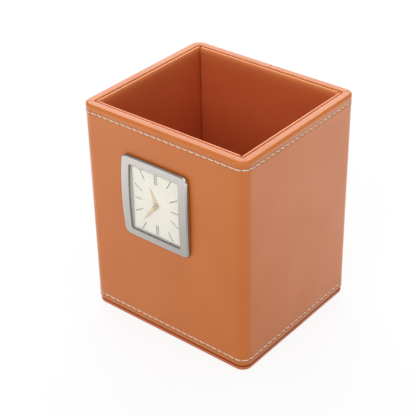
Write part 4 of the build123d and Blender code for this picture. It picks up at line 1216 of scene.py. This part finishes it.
class HOLDER_OT_markers(bpy.types.Operator):
    """Ridged batons on the dial, double at twelve and six"""

    bl_idname = "holder.markers"
    bl_label = "Hour markers"

    def execute(self, context):
        sizes = context.scene.holder_clock
        grey = (linear(160, 157, 151), linear(138, 135, 130))
        black = (linear(52, 50, 48), linear(70, 66, 62))
        values = {
            "Width": sizes.marker_width,
            "Ridge": sizes.marker_thick,
            "Dot": sizes.marker_dot,
            "Metal": fleck_material("baton_metal", grey, 1600.0, (0.35, 0.5), 0.05, 1.0),
            # A dark dot at each baton's outer end.
            "Paint": fleck_material("dark_end_dot", black, 2500.0, (0.4, 0.6), 0.05),
        }
        dial_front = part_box("hour_markers")[1].y
        middle_y = dial_front - sizes.marker_thick / 2
        dot_y = dial_front - DOT_LIFT
        pair = sizes.marker_pair / 2
        places, turns, lengths, ends = [], [], [], []
        for hour in range(12):
            turn = math.radians(30 * hour)
            across = math.sin(turn)
            up = math.cos(turn)
            reach = 1 / max(2 * abs(across) / sizes.marker_span_x, 2 * abs(up) / sizes.marker_span_y)
            length = sizes.side_marker_length if hour % 6 == 3 else sizes.marker_length
            centre = reach - length / 2
            tip = reach - DOT_INSET
            for shift in (-pair, pair) if hour % 6 == 0 else (0.0,):
                x = bezel_middle.x + shift
                places.append((x + centre * across, middle_y, bezel_middle.z + centre * up))
                ends.append((x + tip * across, dot_y, bezel_middle.z + tip * up))
                turns.append(turn)
                lengths.append(length)
        mesh = bpy.data.meshes.new("hour_batons")
        mesh.from_pydata(places, [], [])
        store(mesh, "turn", turns)
        store(mesh, "baton_length", lengths)
        store(mesh, "baton_end", ends, "FLOAT_VECTOR")
        piece = grown_piece("hour_batons", mesh, marker_tree(), values)
        finish_piece(piece, "clock", "hour_markers")
        return {"FINISHED"}


def pointed_hand(name, length, width, tail, angle, back, thick, material):
    """Kite-shaped hand with a ridge along its middle, turned clockwise from twelve."""
    shoulder = 0.2 * length
    tip = 0.05 * MM
    right = [(tip, length), (width / 2, shoulder), (3 * tip, -tail)]
    outline = right + [(-x, y) for x, y in reversed(right)]
    ridge = [(0.0, length - 0.25 * MM), (0.0, shoulder), (0.0, 0.2 * MM - tail)]
    corners = [(x, y, 0.0) for x, y in outline]
    corners += [(x, y, 0.35 * thick) for x, y in outline]
    corners += [(x, y, thick) for x, y in ridge]
    faces = [[5, 4, 3, 2, 1, 0]]
    faces += [[index, (index + 1) % 6, 6 + (index + 1) % 6, 6 + index] for index in range(6)]
    faces += [[6, 7, 13, 12], [7, 8, 14, 13], [8, 9, 14], [9, 10, 13, 14], [10, 11, 12, 13], [11, 6, 12]]
    points = []
    for x, y, height in corners:
        across = x * math.cos(angle) + y * math.sin(angle)
        up = y * math.cos(angle) - x * math.sin(angle)
        points.append((bezel_middle.x + across, back - height, bezel_middle.z + up))
    return mesh_piece(name, points, faces, material, 4)


# How far the minute hand's boss stands in front of its pinion
BOSS_PROUD = 0.04 * MM


class HOLDER_OT_hands(bpy.types.Operator):
    """Pointed hands with a ridge, each on its own boss"""

    bl_idname = "holder.hands"
    bl_label = "Hands"

    def execute(self, context):
        sizes = context.scene.holder_clock
        gold = tuple(context.scene.holder_finish.gold)
        material = fleck_material("pale_gold", (gold, shaded(gold, 0.85)), 1200.0, (0.4, 0.5), 0.05, 1.0)
        hour_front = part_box("hour_hand")[0].y
        minute_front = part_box("cannon_pinion")[0].y - BOSS_PROUD
        hour = (sizes.hour_length, sizes.hour_width, 1.4 * MM, sizes.hour_angle)
        minute = (sizes.minute_length, sizes.minute_width, 1.5 * MM, sizes.minute_angle)
        # Name, leaf, radius of the boss and of its bore, and front of the boss
        hands = (
            ("hour", hour, 1.4 * MM, 0.96 * MM, hour_front),
            ("minute", minute, 0.85 * MM, 0.38 * MM, minute_front),
        )
        for name, leaf, boss, bore, front in hands:
            node = name + "_hand"
            low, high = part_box(node)
            hand = pointed_hand(node + "_leaf", *leaf, high.y, high.y - low.y, material)
            carve(hand, round_bar(name + "_boss", boss, front, high.y, material, 48), "UNION")
            hole = round_bar(name + "_bore", bore, front - 1 * MM, high.y + 1 * MM, material, 48)
            carve(hand, hole, "DIFFERENCE")
            finish_piece(hand, name + "_train", node)
        return {"FINISHED"}


# Flecked finishes: two tones, scale of the flecks, roughness, relief, metallic, and the nodes that get it
FLECKED = {
    "ring_lacquer": ((164, 161, 154), (154, 151, 144), 2000.0, (0.5, 0.65), 0.1, 0.0, ["dial_ring"]),
    "seal_rubber": ((60, 59, 57), (50, 49, 48), 1800.0, (0.5, 0.7), 0.2, 0.0, ["lens_gasket"]),
    "case_plastic": (
        (40, 39, 38), (32, 31, 31), 2600.0, (0.55, 0.7), 0.3, 0.0,
        ["case_body", "back_cover", "setting_knob"],
    ),
    "grip_rubber": ((34, 34, 34), (26, 26, 26), 1500.0, (0.6, 0.8), 0.4, 0.0, ["grip_ring"]),
    "movement_plastic": ((196, 190, 176), (182, 176, 162), 2200.0, (0.4, 0.55), 0.2, 0.0, ["main_plate"]),
    "wheel_plastic": (
        (226, 222, 210), (212, 206, 192), 2800.0, (0.3, 0.45), 0.15, 0.0,
        ["minute_wheel", "hour_wheel", "third_wheel", "intermediate_wheel"],
    ),
    "turned_brass": (
        (212, 176, 104), (190, 152, 84), 2400.0, (0.2, 0.35), 0.1, 1.0,
        ["centre_wheel", "battery_contact", "setting_arbor"],
    ),
    # Painted shade: the cannon pinion gets a darker copy of the turned brass, for the dark spot at the middle
    # of the hands.
    "brass_with_painted_shade": ((112, 88, 52), (92, 70, 40), 2400.0, (0.3, 0.45), 0.1, 1.0, ["cannon_pinion"]),
    "turned_steel": (
        (172, 172, 172), (150, 150, 152), 2600.0, (0.2, 0.35), 0.1, 1.0,
        ["bridge_screws", "stator", "coil_core", "train_bridge"],
    ),
    "magnet_steel": ((110, 110, 114), (88, 88, 92), 2600.0, (0.3, 0.45), 0.2, 1.0, ["rotor"]),
    "circuit_laminate": ((34, 92, 58), (26, 74, 46), 3000.0, (0.3, 0.45), 0.2, 0.0, ["circuit_board"]),
    "grey_board": (
        (176, 158, 132), (156, 138, 112), 1400.0, (0.8, 0.95), 0.5, 0.0,
        ["core_front", "core_back", "core_left", "core_right", "core_floor"],
    ),
    "lining_card": (
        (206, 196, 178), (188, 178, 160), 1800.0, (0.8, 0.95), 0.4, 0.0,
        ["liner_card_front", "liner_card_back", "liner_card_left", "liner_card_right", "base_filler_card"],
    ),
}

# Brushed finishes: two tones, scale along each axis, roughness, relief, and the nodes that get it
BRUSHED = {
    "copper_winding": ((196, 108, 66), (150, 74, 40), (9000.0, 200.0, 200.0), (0.25, 0.4), 0.6, ["coil"]),
    "drawn_can": (
        (190, 190, 190), (170, 170, 172), (120.0, 4000.0, 4000.0), (0.2, 0.32), 0.2,
        ["quartz_crystal"],
    ),
    "cell_steel": ((196, 196, 194), (176, 176, 176), (2600.0, 200.0, 300.0), (0.22, 0.36), 0.2, ["battery"]),
}


class HOLDER_OT_finishes(bpy.types.Operator):
    """Finishes of the glass, dial, case, movement and boards"""

    bl_idname = "holder.finishes"
    bl_label = "Inner finishes"

    def execute(self, context):
        dial = tuple(context.scene.holder_finish.dial)
        lacquer = fleck_material("dial_lacquer", (dial, shaded(dial, 0.97)), 3000.0, (0.35, 0.5), 0.04)
        finishes = [(glass_material("clear_glass"), ["clock_lens"]), (lacquer, ["dial"])]
        for make, table in ((fleck_material, FLECKED), (brushed_material, BRUSHED)):
            for name, (first, second, *values, nodes) in table.items():
                finishes.append((make(name, (linear(*first), linear(*second)), *values), nodes))
        for material, nodes in finishes:
            for node in nodes:
                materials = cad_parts[node].data.materials
                materials.clear()
                materials.append(material)
        return {"FINISHED"}


# Lamps: name, place, size and power, and what they all light
LAMPS = (
    ("key_lamp", (0.15, -1.0, 0.75), 0.6, 3.7),
    ("top_lamp", (0.1, -0.05, 1.0), 0.7, 3.4),
    ("side_lamp", (0.95, -0.3, 0.5), 0.6, 0.4),
    ("back_lamp", (-0.54, 0.64, 0.6), 0.8, 5.5),
)
LAMP_AIM = Vector((0.0, 0.0, 0.05))

# Floor: how far it lies under the part, how white it is seen, and what the part mirrors of it by distance, a
# painted reflection in which it glows brighter away from a spot in front
FLOOR_DROP = 0.2 * MM
FLOOR_WHITENESS = 0.86
MIRROR_CENTRE = (0.06, -0.1, 0.0)
MIRROR_REACH = (0.05, 0.22)
MIRROR_LEVELS = (0.8, 1.9)


class HOLDER_OT_stage(bpy.types.Operator):
    """Pale floor, soft lamps, white surroundings and the camera"""

    bl_idname = "holder.stage"
    bl_label = "Stage"

    def execute(self, context):
        scene = context.scene
        scene.view_settings.view_transform = "Standard"
        self.floor(scene.holder_stage.floor_size / 2)
        self.light(scene, scene.holder_stage.ambient)
        self.camera(scene, scene.holder_stage)
        return {"FINISHED"}

    def floor(self, half):
        """Floor that takes soft shadows, melts into the white surroundings, and glows in the part's
        reflections as a painted reflection.
        """
        mesh = bpy.data.meshes.new("studio_floor")
        corners = [(-half, -half, 0), (half, -half, 0), (half, half, 0), (-half, half, 0)]
        mesh.from_pydata(corners, [], [(0, 1, 2, 3)])
        floor = new_object("studio_floor", mesh)
        floor.location.z = -FLOOR_DROP
        material, tree, shader, place = start_material("pale_floor")
        shader["Base Color"].default_value = (0.9, 0.9, 0.9, 1.0)
        shader["Roughness"].default_value = 0.8
        path = add_node(tree, "ShaderNodeLightPath")
        direct = math_node(tree, "MULTIPLY", path["Is Camera Ray"], FLOOR_WHITENESS)
        seen = math_node(tree, "MAXIMUM", direct, path["Is Glossy Ray"])
        # Painted reflection: in glossy rays the floor glows, brighter away from a spot in front of the part,
        # to haze its faces.
        away = vector_node(tree, "DISTANCE", place, MIRROR_CENTRE)["Value"]
        fade = ranged(tree, away, *MIRROR_REACH, *MIRROR_LEVELS)
        mirrored = math_node(tree, "MULTIPLY", path["Is Glossy Ray"], fade)
        level = math_node(tree, "ADD", path["Is Camera Ray"], mirrored)
        glow = add_node(tree, "ShaderNodeEmission", {"Color": WHITE, "Strength": level})[0]
        mix_onto_surface(tree, seen, glow)
        mesh.materials.append(material)

    def light(self, scene, ambient):
        """White surroundings that light less than they show, and soft square lamps."""
        world = bpy.data.worlds.new("studio_surround")
        world.use_nodes = True
        scene.world = world
        tree = world.node_tree
        path = add_node(tree, "ShaderNodeLightPath")
        shown = math_node(tree, "MAXIMUM", path["Is Camera Ray"], path["Is Transmission Ray"])
        background = tree.nodes["Background"].inputs
        background["Color"].default_value = WHITE
        tree.links.new(ranged(tree, shown, 0.0, 1.0, ambient), background["Strength"])
        for name, place, size, power in LAMPS:
            light = bpy.data.lights.new(name, "AREA")
            light.shape = "SQUARE"
            light.size = size
            light.energy = power
            lamp = new_object(name, light)
            lamp.location = place
            lamp.rotation_euler = (LAMP_AIM - Vector(place)).to_track_quat("-Z", "Y").to_euler()

    def camera(self, scene, stage):
        """Camera that stands, looks and leans as the settings say."""
        camera_data = bpy.data.cameras.new("photo_camera")
        camera_data.sensor_width = 36.0
        camera_data.lens = stage.lens
        camera_data.clip_start = 0.01
        camera_data.clip_end = 50.0
        camera = new_object("photo_camera", camera_data)
        eye = Vector(stage.eye)
        back = (eye - Vector(stage.aim)).normalized()
        right = Vector((0, 0, 1)).cross(back).normalized()
        above = back.cross(right)
        turned_right = math.cos(stage.roll) * right + math.sin(stage.roll) * above
        turned_above = math.cos(stage.roll) * above - math.sin(stage.roll) * right
        axes = Matrix((turned_right, turned_above, back)).transposed().to_4x4()
        camera.matrix_world = Matrix.Translation(eye) @ axes
        scene.camera = camera


BUILDERS = [
    HOLDER_OT_wrap,
    HOLDER_OT_stitches,
    HOLDER_OT_lining,
    HOLDER_OT_base,
    HOLDER_OT_bezel,
    HOLDER_OT_markers,
    HOLDER_OT_hands,
    HOLDER_OT_finishes,
    HOLDER_OT_stage,
]


class HOLDER_PT_panel(bpy.types.Panel):
    """Sizes, colours and builders of the pen holder"""

    bl_idname = "HOLDER_PT_panel"
    bl_label = "Pen Holder"
    bl_space_type = "VIEW_3D"
    bl_region_type = "UI"
    bl_category = "Pen Holder"

    def draw(self, context):
        layout = self.layout
        for name, group in SETTINGS.items():
            box = layout.box()
            box.label(text=group.__doc__)
            for key in group.__annotations__:
                box.prop(getattr(context.scene, name), key)
        for builder in BUILDERS:
            layout.operator(builder.bl_idname)


def register():
    """Registers the settings, the builders and the panel."""
    for name, group in SETTINGS.items():
        bpy.utils.register_class(group)
        setattr(bpy.types.Scene, name, bpy.props.PointerProperty(type=group))
    for builder in BUILDERS:
        bpy.utils.register_class(builder)
    bpy.utils.register_class(HOLDER_PT_panel)


def unregister():
    """Removes what register added."""
    bpy.utils.unregister_class(HOLDER_PT_panel)
    for builder in reversed(BUILDERS):
        bpy.utils.unregister_class(builder)
    for name, group in reversed(SETTINGS.items()):
        delattr(bpy.types.Scene, name)
        bpy.utils.unregister_class(group)


def main():
    """Registers the settings and builders, then builds every piece and the stage."""
    register()
    bpy.ops.holder.wrap()
    bpy.ops.holder.stitches()
    bpy.ops.holder.lining()
    bpy.ops.holder.base()
    bpy.ops.holder.bezel()
    bpy.ops.holder.markers()
    bpy.ops.holder.hands()
    bpy.ops.holder.finishes()
    bpy.ops.holder.stage()


if __name__ == "__main__":
    main()
